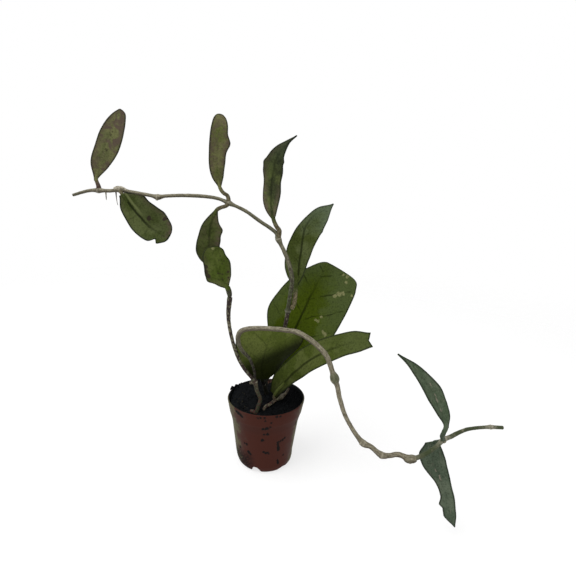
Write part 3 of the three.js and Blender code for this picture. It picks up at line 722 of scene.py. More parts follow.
def leaf_finish(name, look, settings):
    """Waxy leaf: two greens, dark veins and rim, its marks, a paler underside, and the stalk's bark."""
    wax = Finish(name, settings.roughness, settings.gloss)
    light, deep = paint(*look["light"]), paint(*look["deep"])
    reach, edge, run = wax.reading("reach"), wax.reading("edge"), wax.reading("run")
    length = Route(look["rib"]).length
    cloud = wax.noise(11, 3)
    if look.get("heart"):
        from_heart = wax.times(wax.minus(wax.math("ABSOLUTE", reach), look["heart"]), 0.03)
        cloud = wax.plus(wax.noise(9, 4, 0.4, roughness=0.65), from_heart)
    color = wax.mix(wax.between(cloud, 0.4, 0.6), deep, light)
    # Painted sheen: towards the tip the blade takes a tint that is partly its own colour and partly stands
    # in for the sheen of the light from above.
    if look.get("tip_tint_and_sheen"):
        near_tip = wax.plus(wax.math("DIVIDE", run, length), wax.times(cloud, 0.5))
        color = wax.mix(wax.between(near_tip, 0.75, 1.2), color, paint(*look["tip_tint_and_sheen"]))
    shade = wax.mix(1.0, color, paint(160, 160, 150), "MULTIPLY")
    grain = wax.noise(1.1, 3, roughness=0.7)
    color = wax.mix(wax.times(wax.between(grain, 0.52, 0.36), 0.55), color, shade)
    color = wax.mix(wax.times(wax.between(grain, 0.54, 0.72), 0.4), color, light)
    vein = leaf_veins(wax, look, reach, edge, run, length)
    color = wax.mix(vein, color, wax.mix(1.0, deep, paint(125, 130, 120), "MULTIPLY"))
    if look.get("band"):
        beside = wax.minus(1.0, wax.math("ABSOLUTE", wax.math("MULTIPLY_ADD", reach, 0.8, 1.9)))
        beside = wax.times(wax.between(beside, 0.0, 0.8), wax.between(run, 26, 10))
        color = wax.mix(wax.times(beside, look["band"]), color, settings.pale)
    color = leaf_marks(wax, look, settings, color, reach, edge, run, grain)

    rim = wax.between(edge, 1.4, 0.6)
    color = wax.mix(wax.times(rim, look.get("rim", 0.7)), color, settings.margin)
    color = wax.mix(wax.times(wax.reading("under"), 0.35), color, settings.underside)
    # The tone reading scales the colour; where it darkens a blade that lies in shade, it is painted shade.
    toned = wax.node("ShaderNodeVectorMath", {"operation": "SCALE"}, Vector=color,
                     Scale=wax.reading("tone"))
    stalk_light = paint(*look["stalk_light"]) if "stalk_light" in look else settings.stalk_light
    stalk_dark = paint(*look["stalk_dark"]) if "stalk_dark" in look else settings.stalk_dark
    bark = wax.mix(wax.between(wax.noise(1.2, 3), 0.35, 0.65), stalk_dark, stalk_light)
    color = wax.mix(wax.reading("stalk"), toned.outputs["Vector"], bark)
    height = wax.minus(wax.times(grain, 0.35), wax.times(vein, 0.5))
    sheen = wax.plus(settings.roughness - 0.06, wax.times(wax.noise(3, 2), 0.16))
    return wax.done(color, height, 0.22, 0.6, sheen)


def blade(bm, look, settings, seed):
    """A leaf blade in an empty bmesh: a sheet bent along its midrib, doubled to its two sides."""
    spine = Route(look["rib"])
    made = bmesh.ops.create_grid(bm, x_segments=LEAF_COLUMNS, y_segments=LEAF_ROWS, size=0.5)["verts"]
    doubled = bmesh.ops.extrude_face_region(bm, geom=list(bm.faces), use_keep_orig=True)["geom"]
    upper = [item for item in doubled if isinstance(item, bmesh.types.BMVert)]
    made = [*made, *upper]
    sign = np.array([-1.0] * (len(made) - len(upper)) + [1.0] * len(upper))
    flat = np.array([vertex.co[:2] for vertex in made])
    share = flat[:, 1] + 0.5
    even = np.abs(flat[:, 0]) * 2
    across = np.sign(flat[:, 0]) * (0.35 * even + 0.65 * even * even * (3 - 2 * even))
    wide = np.abs(across)

    station = np.sin(share * np.pi / 2) if look.get("round") else share
    tangent = spine.heading(station)
    side = np.array(look["spread"], float) if "spread" in look else np.cross(tangent, look["face"])
    side = unit(np.broadcast_to(side, tangent.shape))
    up = unit(np.cross(side, tangent))
    half = np.where(across < 0, smooth(look["left"], share), smooth(look["right"], share))
    for where, place, depth, length in look.get("nicks", []):
        here = np.exp(-((share - place) / length) ** 2)
        half = half - np.where(np.sign(across) == where, depth * here, 0)
    half = np.maximum(half, NARROWEST_HALF)
    free = np.minimum(1, half / CALM_HALF)
    ripple = RIPPLE_HEIGHT * np.sin(share * 4 * np.pi + np.where(across < 0, 0, RIPPLE_SHIFT))
    lift = (look.get("cup", 0.1) * half + ripple * free) * across ** 2

    reach = across * half
    edge = (1 - wide) * half
    middle = spine.at(station) + side * reach[:, None]
    lift = lift + BUCKLE_DEPTH * rough(middle, BUCKLE_SIZE, seed) * free
    lift = lift + DIMPLE_DEPTH * rough(middle, DIMPLE_SIZE, seed + 5) * free
    notch = look.get("notch", 0) * (1 - wide) * share ** NOTCH_SHARPNESS
    middle = middle + up * lift[:, None] - tangent * notch[:, None]

    rib_thickness, margin_thickness = settings.rib_thickness / MM, settings.margin_thickness / MM
    thick = rib_thickness + (margin_thickness - rib_thickness) * wide ** THINNING
    tip = (1 - station) * spine.length + 0.15
    nearest = np.minimum(edge, tip)
    rounding = np.clip(nearest / MARGIN_ROUNDING, 0, 1)
    thick = thick * np.sqrt(np.clip(1 - (1 - rounding) ** 2, 0.02, 1))
    groove = settings.groove_depth / MM * np.exp(-(reach / GROOVE_HALF) ** 2) * (1 - share ** 4)
    keel = KEEL_HEIGHT * np.exp(-(reach / KEEL_HALF) ** 2) * (1 - share)
    off = np.where(sign > 0, thick / 2 - groove, -thick / 2 - keel)
    surface = middle + up * off[:, None]

    crossed = np.clip(across / 0.7 + 0.5, 0, 1)
    crossed = crossed * crossed * (3 - 2 * crossed)
    readings = {"reach": reach, "edge": nearest, "run": station * spine.length,
                "under": (sign < 0).astype(float), "stalk": np.zeros(len(made))}
    for reading, usual in (("tone", [1, 1]), ("flush", [0, 0])):
        both = look.get(reading, usual)
        to_left, to_right = (smooth(look.get(f"{reading}_{way}", both), share) for way in ("left", "right"))
        readings[reading] = to_left + (to_right - to_left) * crossed
    # Painted shade: the base of a blade is darkened up to a border that runs from one margin to the other.
    if "shaded" in look:
        low_left, low_right, darkest = look["shaded"]
        border = low_left + (low_right - low_left) * (across + 1) / 2
        lit = np.clip((share - border) / SHADED_REACH + 0.5, 0, 1)
        readings["tone"] = readings["tone"] * (darkest + (1 - darkest) * lit * lit * (3 - 2 * lit))
    store(bm, made, surface, readings)


def leaf(name, look, settings, seed):
    """A leaf with its stalk, as one piece."""
    bm = new_bmesh(LEAF_READINGS)
    blade(bm, look, settings, seed)
    spine = Route(look["rib"])
    run = Route([*look["stalk"], spine.at(0.03), spine.at(0.16)])
    radii = look.get("stalk_radii", [1.6, 1.35, 1.3, 0.8])
    base = run.nearest(spine.at(0.0))
    values = {
        "stalk": lambda share: np.clip(1.4 - (share / base) ** 3, 0, 1),
        "reach": everywhere(3),
        "edge": everywhere(3),
        "under": everywhere(0),
        "tone": everywhere(look.get("stalk_tone", 1)),
        "flush": everywhere(0),
    }
    grow(bm, run, along(radii), STALK_SIDES, STALK_STEP, values, seed + 11)
    return finish_piece(bm, name, leaf_finish(name + "_wax", look, settings))


# Stems. Each part has its route, evenly spaced radii, the nodes where it swells by `swell`, and evenly
# spaced shares of the colours green, purple, pale, red and painted shade, which are USUAL_SHARES where
# none are given. The painted shade is near-black and darkens the stems low in the plant, where they lie
# in deep shade. Pegs are the stubs of shed leaves and side shoots: place, direction, length and radius.
USUAL_SHARES = {"green": [0.2, 0.2], "purple": [0.3, 0.3], "pale": [0, 0], "red": [0, 0], "painted_shade": [0, 0]}
TALL_VINE = [
    {
        "route": [
            [0, 9, 36], [0, 9, 50], PAIR, [2, 5, 77], [7, 5, 92], [13, 3, 112], FIRST, [15.3, 0.5, 129],
        ],
        "radii": [1.9, 1.9, 1.8, 1.7, 1.6, 1.5], "nodes": [PAIR, FIRST], "swell": 0.4,
        "green": [0, 0, 0.3, 0.5, 0.5], "purple": [1, 1, 1, 0.9, 0.7],
        "painted_shade": [1, 1, 1, 1, 0.9, 0.6, 0.2, 0, 0, 0],
    },
    {
        "route": [
            [14.8, 1.2, 124], FIRST, [15.6, 0, 132.5], [16.6, -2, 142], [17.4, -4, 151], [15.8, -5, 159.5],
            [12.5, -5, 169], SECOND, [5, -4, 185], [-8, -4, 194], [-17, -4, 200], THIRD, [-38, 0, 208],
            [-57, 4, 209], [-76, 7, 208], FOURTH, [-88, 9, 208], [-104, 13, 210], HANGING, [-120, 16, 210],
            RISING, [-137, 20, 209.5], [-152, 24, 205.5],
        ],
        "radii": [1.5, 1.6, 1.45, 1.3, 1.2, 1.3, 1.25, 1.3, 1.3, 1.1],
        "nodes": [FIRST, SECOND, THIRD, FOURTH, HANGING, RISING], "swell": 0.8,
        "green": [1, 0.8, 0.35, 0.5, 0.3, 0.3, 0.2, 0.1, 0.1, 0.1, 0.3],
        "purple": [0.2, 0.3, 0.1, 0, 0, 0, 0, 0, 0, 0.1],
    },
    {
        "route": [[-106, 13, 210.5], [-110, 14, 212.2], [-113.5, 14, 212.4], [-116.5, 15, 211.5]],
        "radii": [1.1, 1.3, 1.4, 1], "pale": [1, 1, 1, 1],
    },
    {"route": [[-115, 15, 210.5], [-115, 15, 206], [-114.3, 14, 202], [-113.8, 14, 199.5]],
     "radii": [0.6, 0.3, 0.15]},
    {"route": [[-123, 16, 210], [-123, 16, 206.5], [-123, 16, 203]], "radii": [0.6, 0.4, 0.25]},
]
TALL_PEGS = [
    (FOURTH, (-0.4, -0.3, -0.9), 1.3, 1.2),
    (FOURTH, (-0.5, 0.5, 0.7), 0.8, 1),
    (FIRST, (-0.9, -0.2, 0.3), 0.9, 1.1),
    (SECOND, (-0.8, -0.3, -0.5), 0.9, 1.1),
    ((-8, -4, 194), (0.4, -0.3, 0.8), 0.1, 1),
    ((-17, -4, 200), (0.4, -0.3, 0.8), 0.1, 1),
    (RISING, (0.1, -0.5, -0.9), 0.8, 0.9),
    (HANGING, (0.3, 0.6, 0.7), 1.2, 1.2),
]

FORKED_VINE = [
    {
        "route": [
            [-7, -19, 36], [-6.5, -19, 50], [-5.5, -17.5, 54], [-3.8, -16, 60.5], [-6.2, -16.3, 67.5], FORK,
            [-10, -18, 79], [-15, -19.5, 86], [-20, -19.5, 95], [-25, -20, 112], [-27, -20.5, 127.5],
            [-26, -20.5, 142],
        ],
        "radii": [1.6, 1.55, 1.45, 1.4, 1.3, 1.25, 1.3, 1.3, 1.55, 1.9],
        "nodes": [FORK],
        "swell": 0.8,
        "green": [1, 1, 1, 0.6, 0.5, 0.5, 0.4, 0.3, 0.4, 0.7],
        "purple": [0.5, 0.4, 0.2, 0.2, 0.7, 0.7, 0.55, 0.45, 0.5, 0.8],
        "painted_shade": [0.8, 0.55, 0.5, 0.4, 0.1, 0, 0, 0, 0, 0],
        "red": [0.7, 0.7, 0.6, 0.4, 0.1, 0, 0, 0, 0, 0],
    },
    {
        "route": [
            FORK, [-8, -19, 83], [-9.4, -22, 91], [-12, -24, 98], [-15.8, -26, 103], [-18.5, -28, 109],
            [-19, -31, 116], [-16.5, -34, 121.5], [-12, -36, 124], [-4.5, -38, 125.5], [5, -41, 126.5],
            [14, -44, 127], [21, -47, 127], [28, -50, 124.5], [35, -53, 120], [40.5, -56, 114.5],
            HIP, [48, -61, 96], [49.5, -63, 89.5], [54.5, -67, 77], LOW, [69.5, -73, 62],
            KINK, [81, -76, 58], [86.5, -76, 59], KNUCKLE, [97.5, -78, 58.5],
        ],
        "radii": [0.9, 1, 1.4, 1.7, 1.6, 1.6, 1.7, 1.7, 1.6, 1.5, 1.35, 1.6, 1.5, 1.9],
        "nodes": [HIP, LOW, KINK, KNUCKLE], "swell": 0.6,
        "green": [0.6, 0.7, 0.3, 0, 0, 0, 0, 0, 0, 0, 0, 0],
        "purple": [0.8, 0.5, 0.1, 0, 0, 0, 0, 0, 0, 0, 0, 0],
        "painted_shade": [0.7, 0.5, 0.1, 0, 0, 0, 0, 0, 0, 0, 0, 0],
    },
    {
        "route": [
            [92, -78, 57.5], [98.5, -78, 59], [109, -76, 65], TRAIL_PAIR, [119, -72, 70],
            [125.5, -69, 71.5], [132, -66, 72], [139, -64, 72], LAST, [159, -58, 69],
        ],
        "radii": [1.6, 1.4, 1.3, 1.4, 1.2, 1.1, 1.15, 1.2], "nodes": [TRAIL_PAIR, LAST], "swell": 0.25,
        "green": [0.3, 1, 1, 1, 1, 1, 1, 1], "purple": [0, 0, 0, 0, 0.1, 0, 0],
        "pale": [0.6, 0.1, 0, 0, 0.2, 0.8, 0.1, 0, 0, 0, 0, 0.3, 0.7, 0, 0],
    },
    {"route": [FORK, [-10.5, -17.5, 75], [-12, -18, 74]], "radii": [1.4, 1.2, 0.9]},
    {"route": [[44, -58.2, 106.5], [45.2, -59.2, 103.5], HIP, [46.8, -60.3, 97.5]],
     "radii": [1.2, 2, 2.9, 2.7, 1.4], "green": [0.2, 0.5, 0.7, 0.6, 0.2], "purple": [0, 0]},
    {"route": [[89.5, -77, 58], [92, -77.7, 57.3], KNUCKLE, [97.5, -78, 58.3]],
     "radii": [1.3, 2.3, 2.6, 2.5, 1.6], "purple": [0, 0]},
    {"route": [[-6.5, -19, 49.5], [-9, -18.5, 51.5], [-11.5, -18, 51.5]], "radii": [1.1, 1.5, 1.1],
     "red": [1, 1, 1], "painted_shade": [0.6, 0.4, 0.3]},
]
FORKED_PEGS = [
    (HIP, (-0.8, -0.3, -0.4), 1.6, 2.1),
    (HIP, (0.9, 0.1, 0.25), 1.6, 2.1),
    (LOW, (-0.7, -0.3, 0.2), 1.5, 1.6),
    (LOW, (0.3, 0.1, -0.9), 1.2, 1.5),
    (KINK, (-0.3, -0.2, -0.9), 1, 1.5),
    (KNUCKLE, (-0.5, -0.2, -0.8), 1.7, 2),
    (KNUCKLE, (0.5, -0.1, -0.8), 1.2, 1.8),
    (TRAIL_PAIR, (-0.3, -0.6, 0.8), 1.5, 1.4),
    (TRAIL_PAIR, (0.4, -0.7, -0.4), 0.8, 1.4),
]

STUMP = [
    {
        "route": [
            [-2.5, -16, 49.5], [0, -13, 52.4], [3.5, -9.5, 53], [8, -3, 53.5], [11.5, 1, 53.5],
            [15.5, 6, 54.5], [18, 9.5, 57.5],
        ],
        "radii": [1.1, 1.25, 1.3, 1.3, 1.7, 1.2, 0.8],
        "nodes": [[11.5, 1, 53.5]],
        "swell": 0.4,
        "green": [0.3, 0.4, 0.4, 0.4, 0.5, 0.6],
        "purple": [0.4, 0.4, 0.4, 0.2, 0.4, 0.5],
        "red": [0.8, 0.7, 0.6, 0.3, 0.4, 0.4],
        "painted_shade": [0.2, 0, 0, 0, 0, 0.2],
    },
]


def bark_finish(name, settings):
    """Dry stem: pale cork over brown, streaked along its length, green or purple where it is young, with
    painted shade on the lower side of level stems and near-black painted shade low in the plant.
    """
    bark = Finish(name, settings.roughness, 0.15)
    run, turn_x, turn_y = bark.reading("run"), bark.reading("turn_x"), bark.reading("turn_y")
    drawn = bark.vector(bark.times(turn_x, 1.2 * MM), bark.times(turn_y, 1.2 * MM),
                        bark.times(run, 0.16 * MM))

    def patches(reading, size, low, high):
        """A reading broken up into patches."""
        return bark.times(bark.reading(reading), bark.between(bark.noise(size, 3), low, high))

    streaks = bark.between(bark.noise(0.55, 3, at=drawn, roughness=0.65), 0.36, 0.66)
    flecks = bark.between(bark.noise(1.3, 4, 0.4, roughness=0.7), 0.42, 0.66)
    color = bark.mix(streaks, settings.cork_dark, settings.cork_light)
    color = bark.mix(bark.times(flecks, 0.35), color, settings.cork_pale)
    # Painted shade on the lower side of level stems.
    low = bark.between(bark.reading("low"), 0.05, 0.8)
    color = bark.mix(bark.times(low, 0.75), color, settings.cork_painted_shade)
    color = bark.mix(bark.times(patches("green", 3, 0.2, 0.45), 0.9), color, settings.young_green)
    blotted = bark.minus(bark.reading("purple"), bark.between(bark.noise(2.0, 4), 0.44, 0.64))
    purple = bark.between(blotted, -0.1, 0.5)
    color = bark.mix(bark.times(purple, 0.95), color, settings.old_brown)
    # Near-black painted shade on the stems low in the plant.
    color = bark.mix(patches("painted_shade", 1.8, 0.2, 0.5), color, settings.painted_shade_color)
    color = bark.mix(patches("red", 1.5, 0.46, 0.56), color, settings.raw_red)
    color = bark.mix(patches("pale", 1.6, 0.3, 0.5), color, settings.cork_pale)
    ring = bark.times(bark.reading("ring"), bark.minus(1.0, purple))
    color = bark.mix(bark.times(ring, 0.6), color, settings.cork_pale)
    pits = bark.between(bark.cells(1.1), 0.22, 0.1)
    color = bark.mix(bark.times(pits, 0.45), color, settings.cork_dark)
    height = bark.plus(bark.times(streaks, 0.6), bark.times(flecks, 0.4))
    return bark.done(color, height, 0.16, 0.8)


def stem_part(bm, part, seed):
    """One branch of a vine, with its swellings and the raised ring at each node."""
    route = Route(part["route"])
    nodes = part.get("nodes", [])

    def ring_share(share):
        ring = np.zeros(share.shape)
        for node in nodes:
            from_node = (share - route.nearest(node)) * route.length
            ring = np.maximum(ring, np.exp(-((from_node - RING_PAST_NODE) / RING_HALF) ** 2))
        return ring

    def radius(share):
        thick = smooth(part["radii"], share)
        centre = route.at(share)
        for node in nodes:
            near = np.sum((centre - node) ** 2, axis=1)
            thick = thick + part["swell"] * np.exp(-near / SWELLING_REACH ** 2)
        return thick + RING_HEIGHT * ring_share(share)

    values = {name: along(part.get(name, usual)) for name, usual in USUAL_SHARES.items()}
    values["ring"] = ring_share
    grow(bm, route, radius, STEM_SIDES, STEM_STEP, values, seed)


def peg(bm, node, direction, length, radius, seed):
    """The stub of a shed leaf or shoot: a short rounded knob."""
    start = np.array(node, float)
    ahead = unit(np.array(direction, float))
    route = Route([start, start + ahead * (length * 0.6 + 1), start + ahead * (length + 1.4)])
    values = {
        "ring": lambda share: np.clip((share - 0.75) * 5, 0, 1),
        "pale": lambda share: np.clip(share * 0.8 - 0.4, 0, 0.4),
        "green": everywhere(0.25),
    }

    def taper(share):
        return radius * (1.1 - 0.2 * share)

    grow(bm, route, taper, PEG_SIDES, PEG_STEP, values, seed, blunt=0.9)


def vine(name, parts, pegs, settings, seed):
    """A vine or stump with its branches and pegs, as one piece."""
    bm = new_bmesh(STEM_READINGS)
    for index, part in enumerate(parts):
        stem_part(bm, part, seed + index)
    for index, (node, direction, length, radius) in enumerate(pegs):
        peg(bm, node, direction, length, radius, seed + 20 + index)
    return finish_piece(bm, name, bark_finish(name + "_bark", settings))


def leaned(height):
    """How far the pot and its filling have leaned to the left at a height, in millimetres."""
    return LEAN * max(0, LEAN_FROM - height) - LEAN_BACK * max(0, LEAN_BACK_FROM - height)


def soil_height(x, y):
    """Height of the crumbly soil at a place: crossing ripples on a gentle slope."""
    coarse = np.sin(0.31 * x + 1.1 * np.sin(0.23 * y)) * np.cos(0.27 * y - 0.4 * np.sin(0.35 * x))
    fine = np.sin(1.13 * x + 2 * np.sin(0.71 * y)) * np.sin(1.37 * y + 1.7 * np.cos(0.83 * x))
    heap = np.exp(-((x - HEAP_PLACE[0]) ** 2 + (y - HEAP_PLACE[1]) ** 2) / HEAP_REACH ** 2)
    return SOIL_LEVEL + SOIL_SLOPE * y + 0.6 * (coarse + 0.7 * fine) + HEAP_HEIGHT * heap


def soil_lumps(x, y):
    """The unevenness of the soil at a place: coarse lumps and fine ones."""
    coarse = noise.noise(Vector((x, y, 3)) / 2.3)
    return 0.75 * coarse + 0.45 * noise.noise(Vector((x, y, 9)) / 0.9) - 0.15


def length_setting(name, description, millimetres, low, high):
    return bpy.props.FloatProperty(name=name, description=description, default=millimetres * MM,
                                   min=low * MM, max=high * MM, unit="LENGTH", subtype="DISTANCE")


def color_setting(name, description, red, green, blue):
    return bpy.props.FloatVectorProperty(name=name, description=description, subtype="COLOR", size=4,
                                         default=paint(red, green, blue), min=0, max=1)


def share_setting(name, description, value):
    return bpy.props.FloatProperty(name=name, description=description, default=value, min=0, max=1,
                                   subtype="FACTOR")


class HoyaPotSettings(bpy.types.PropertyGroup):
    """Sizes and colours of the pot."""

    rim_radius: length_setting("Rim radius", "Outer radius of the rim", POT_HIGH.x, 20, 60)
    height: length_setting("Height", "Height of the rim above the surface", POT_HIGH.z, 40, 90)
    wall: length_setting("Wall", "Thickness of the wall", 1, 0.6, 3)
    collar_depth: length_setting("Collar depth", "Height of the collar", 11.5, 5, 25)
    foot_radius: length_setting("Foot radius", "Radius of the foot ring", 19.7, 12, 40)
    roughness: share_setting("Roughness", "Roughness of the plastic", 0.5)
    gloss: share_setting("Gloss", "Strength of the reflection of the plastic", 0.04)
    plastic: color_setting("Plastic", "Colour of the moulded plastic", 61, 31, 24)
    # The next two colours are painted sheen: lighter plastic towards the sides and a pale band at the
    # edges.
    side_sheen: color_setting("Side sheen", "Colour of the painted sheen towards the sides", 63, 41, 35)
    edge_sheen: color_setting("Edge sheen", "Colour of the painted sheen at the edges", 80, 78, 55)
    dirt: color_setting("Dirt", "Colour of the soil smeared on the wall", 18, 20, 20)


class HoyaSoilSettings(bpy.types.PropertyGroup):
    """Make-up and colours of the soil."""

    crumbs: bpy.props.IntProperty(name="Crumbs", description="Number of loose crumbs", default=900,
                                  min=0, max=2000)
    largest: length_setting("Largest crumb", "Radius of the largest crumb", 0.95, 0.3, 2)
    peat: color_setting("Peat", "Colour of the peat", 10, 11, 12)
    bark: color_setting("Bark chips", "Colour of the lighter crumbs", 30, 32, 34)
    grit: color_setting("Grit", "Colour of the few pale grains", 96, 88, 64)


class HoyaStemSettings(bpy.types.PropertyGroup):
    """Colours of the stems."""

    roughness: share_setting("Roughness", "Roughness of the bark", 0.62)
    cork_light: color_setting("Light cork", "Main colour of the dry bark", 130, 124, 104)
    cork_pale: color_setting("Pale cork", "Colour of flecks and node rings", 156, 150, 134)
    cork_dark: color_setting("Dark cork", "Colour of the furrows", 80, 74, 58)
    # Painted shade: the lower side of level stems is darkened towards this colour.
    cork_painted_shade: color_setting("Underside cork", "Colour of the lower side of level stems", 60, 52, 40)
    young_green: color_setting("Young green", "Colour of the young stem", 50, 61, 34)
    old_brown: color_setting("Old brown", "Colour of the old or reddened stem", 40, 28, 27)
    raw_red: color_setting("Raw red", "Colour of the reddened shoot at the soil", 70, 42, 36)
    # Painted shade: the stems low in the plant are darkened to this near-black.
    painted_shade_color: color_setting("Painted shade", "Colour of the near-black painted shade low on the stems", 17, 19, 12)


class HoyaLeafSettings(bpy.types.PropertyGroup):
    """Thickness, gloss and marking colours of the leaves."""

    rib_thickness: length_setting("Midrib thickness", "Thickness along the midrib", 1.6, 0.5, 4)
    margin_thickness: length_setting("Margin thickness", "Thickness near the margin", 0.8, 0.3, 3)
    groove_depth: length_setting("Groove", "Depth of the groove along the midrib", 0.32, 0, 1)
    roughness: share_setting("Roughness", "Roughness of the waxy surface", 0.45)
    gloss: share_setting("Gloss", "Strength of the reflection of the waxy surface", 0.03)
    blotch: color_setting("Blotches", "Colour of the purple-brown mottling", 78, 66, 58)
    speck: color_setting("Specks", "Colour of the small dark specks", 38, 28, 26)
    # This colour serves pale scarring and painted glints.
    scar_and_glint: color_setting("Scarring and glints", "Colour of the pale scarring and painted glints", 120, 120, 82)
    streak: color_setting("Streaks", "Colour of the pale pinkish streaks", 122, 114, 102)
    pale: color_setting("Pale band", "Colour of the pale band beside a midrib", 98, 104, 66)
    margin: color_setting("Margin", "Colour of the dark margin", 24, 30, 20)
    underside: color_setting("Underside", "Colour of the underside", 86, 94, 62)
    stalk_light: color_setting("Light stalk", "Lighter colour of the stalks", 98, 92, 72)
    stalk_dark: color_setting("Dark stalk", "Darker colour of the stalks", 66, 60, 44)


class HoyaStageSettings(bpy.types.PropertyGroup):
    """Light and floor."""

    key_power: bpy.props.FloatProperty(name="Key light", description="Power of the large soft light",
                                       default=9, min=0, max=200, unit="POWER")
    fill_power: bpy.props.FloatProperty(name="Fill light", description="Power of the low fill light",
                                        default=0.5, min=0, max=200, unit="POWER")
    horizon: bpy.props.FloatProperty(name="Low surroundings", description="Light from level and below",
                                     default=1.0, min=0, max=5)
    zenith: bpy.props.FloatProperty(name="High surroundings", description="Light from above",
                                    default=0.5, min=0, max=5)
    floor: color_setting("Floor", "Colour of the floor", 150, 150, 150)
    lit: bpy.props.FloatProperty(name="Lit paper", description="Light that the floor paper gives off",
                                 default=0.7, min=0, max=2)


def plastic_finish(settings):
    """Moulded plastic: a painted sheen towards its sides, painted shade under the collar, smears of soil,
    and dirty inside.
    """
    skin = Finish("pot_plastic", settings.roughness, settings.gloss)
    split = skin.node("ShaderNodeSeparateXYZ", Vector=skin.place).outputs
    rim, top, depth = settings.rim_radius, settings.height, settings.collar_depth
    height = split["Z"]
    turn = skin.math("ARCTAN2", split["X"], skin.times(split["Y"], -1.0))
    # Painted sheen: the plastic turns lighter and greyer away from the front and palest at the sides,
    # standing in for the reflection of the bright surroundings.
    blurred = skin.times(skin.minus(skin.noise(7, 4, roughness=0.65), 0.5), 1.1)
    aside = skin.plus(skin.math("ABSOLUTE", skin.minus(turn, WALL_MIDDLE)), blurred)
    color = skin.mix(skin.between(aside, *SIDE_SHEEN_TURNS), settings.plastic, settings.side_sheen)
    sheen_share = skin.times(skin.between(aside, *EDGE_SHEEN_BEGINS), skin.between(aside, *EDGE_SHEEN_ENDS))
    color = skin.mix(skin.times(sheen_share, 0.9), color, settings.edge_sheen)

    place = skin.vector(skin.times(turn, POT_TURN), skin.math("DIVIDE", height, MM), 0.0)
    smears = skin.times(spots(skin, place, POT_SMEARS, 3.4, grain=0.9), 0.95)
    specks = skin.times(skin.between(skin.noise(1.3, 3, 0.6, roughness=0.7), 0.68, 0.72),
                        skin.between(skin.noise(6, 2), 0.5, 0.6))
    foot = skin.times(skin.between(height, *FOOT_GRIME_HEIGHTS),
                      skin.between(split["X"], *FOOT_GRIME_PLACES))
    foot = skin.times(foot, skin.between(skin.noise(1.4, 3), 0.3, 0.55))
    collar = top - depth
    # Painted shade: the band under the collar is darkened a little along with the smears.
    collar_shade = skin.times(skin.between(height, collar - 8 * MM, collar - 4 * MM),
                       skin.between(height, collar + 1.5 * MM, collar - 0.5 * MM))
    for mark in (specks, skin.times(foot, 0.8), skin.times(collar_shade, 0.1)):
        smears = skin.more(smears, mark)

    from_axis = skin.node("ShaderNodeVectorMath", {"operation": "LENGTH"},
                          Vector=skin.vector(split["X"], split["Y"], 0.0)).outputs["Value"]
    slope = COLLAR_TAPER * MM / depth
    outside = skin.math("MULTIPLY_ADD", height, slope, rim - slope * top)
    inside = skin.times(skin.between(skin.minus(outside, from_axis), *INSIDE_DEPTHS),
                        skin.between(height, *INSIDE_HEIGHTS))
    color = skin.mix(skin.more(smears, inside), color, settings.dirt)
    raised = skin.plus(skin.times(skin.noise(0.7, 3), 0.3), smears)
    roughness = skin.plus(settings.roughness, skin.times(smears, 0.4))
    return skin.done(color, raised, 0.12, 0.5, roughness)


def arch_cutter(settings, angle, height):
    """The cutter of one foot notch: an arch that runs out through the foot ring and rises to `height`."""
    start = settings.foot_radius / MM - NOTCH_INSET
    bm = bmesh.new()
    corners = [(start, across, share * NOTCH_INNER_HEIGHT) for across, share in NOTCH_ARCH]
    face = bm.faces.new([bm.verts.new(corner) for corner in corners])
    pushed = bmesh.ops.extrude_face_region(bm, geom=[face], use_keep_orig=True)["geom"]
    moved = [item for item in pushed if isinstance(item, bmesh.types.BMVert)]
    bmesh.ops.translate(bm, vec=(NOTCH_RUN, 0, 0), verts=moved)
    for vertex in moved:
        vertex.co.z *= height / NOTCH_INNER_HEIGHT
    bmesh.ops.recalc_face_normals(bm, faces=bm.faces)
    bmesh.ops.rotate(bm, cent=(0, 0, 0), matrix=Matrix.Rotation(angle, 3, "Z"), verts=bm.verts)
    return bm


def cut_away(piece, cutters):
    """Cuts bmeshes in millimetres out of a piece, for good."""
    bpy.context.view_layer.update()
    whole = bmesh.new()
    for cutter in cutters:
        part = bpy.data.meshes.new("cutter")
        cutter.to_mesh(part)
        cutter.free()
        whole.from_mesh(part)
        bpy.data.meshes.remove(part)
    bmesh.ops.transform(whole, matrix=Matrix.Scale(MM, 4), verts=whole.verts)
    mesh = bpy.data.meshes.new("cutter")
    whole.to_mesh(mesh)
    whole.free()
    tool = bpy.data.objects.new("cutter", mesh)
    bpy.context.scene.collection.objects.link(tool)
    cut = piece.modifiers.new("cut", "BOOLEAN")
    cut.operation = "DIFFERENCE"
    cut.solver = "EXACT"
    cut.object = tool
    bpy.context.view_layer.update()
    shown = piece.evaluated_get(bpy.context.evaluated_depsgraph_get())
    result = bpy.data.meshes.new_from_object(shown)
    piece.modifiers.clear()
    piece.data = result
    bpy.data.objects.remove(tool)
    result.shade_smooth()
    result.set_sharp_from_angle(angle=math.radians(38))


def turned(bm, profile, steps, rounding):
    """Turns a profile of (radius, height) about the pot's axis, with its corners rounded off."""
    points = [bm.verts.new((radius, 0, height)) for radius, height in profile]
    for pair in zip(points, points[1:]):
        bm.edges.new(pair)
    inner = [point for point in points if len(point.link_edges) == 2 and point.co.x > 1]
    bmesh.ops.bevel(bm, geom=inner, offset=rounding, offset_type="OFFSET", segments=3, profile=0.5,
                    affect="VERTICES", material=-1, clamp_overlap=True)
    bmesh.ops.spin(bm, geom=[*bm.verts, *bm.edges], cent=(0, 0, 0), axis=(0, 0, 1), angle=2 * math.pi,
                   steps=steps, use_merge=True)
    bmesh.ops.remove_doubles(bm, verts=bm.verts, dist=1e-3)


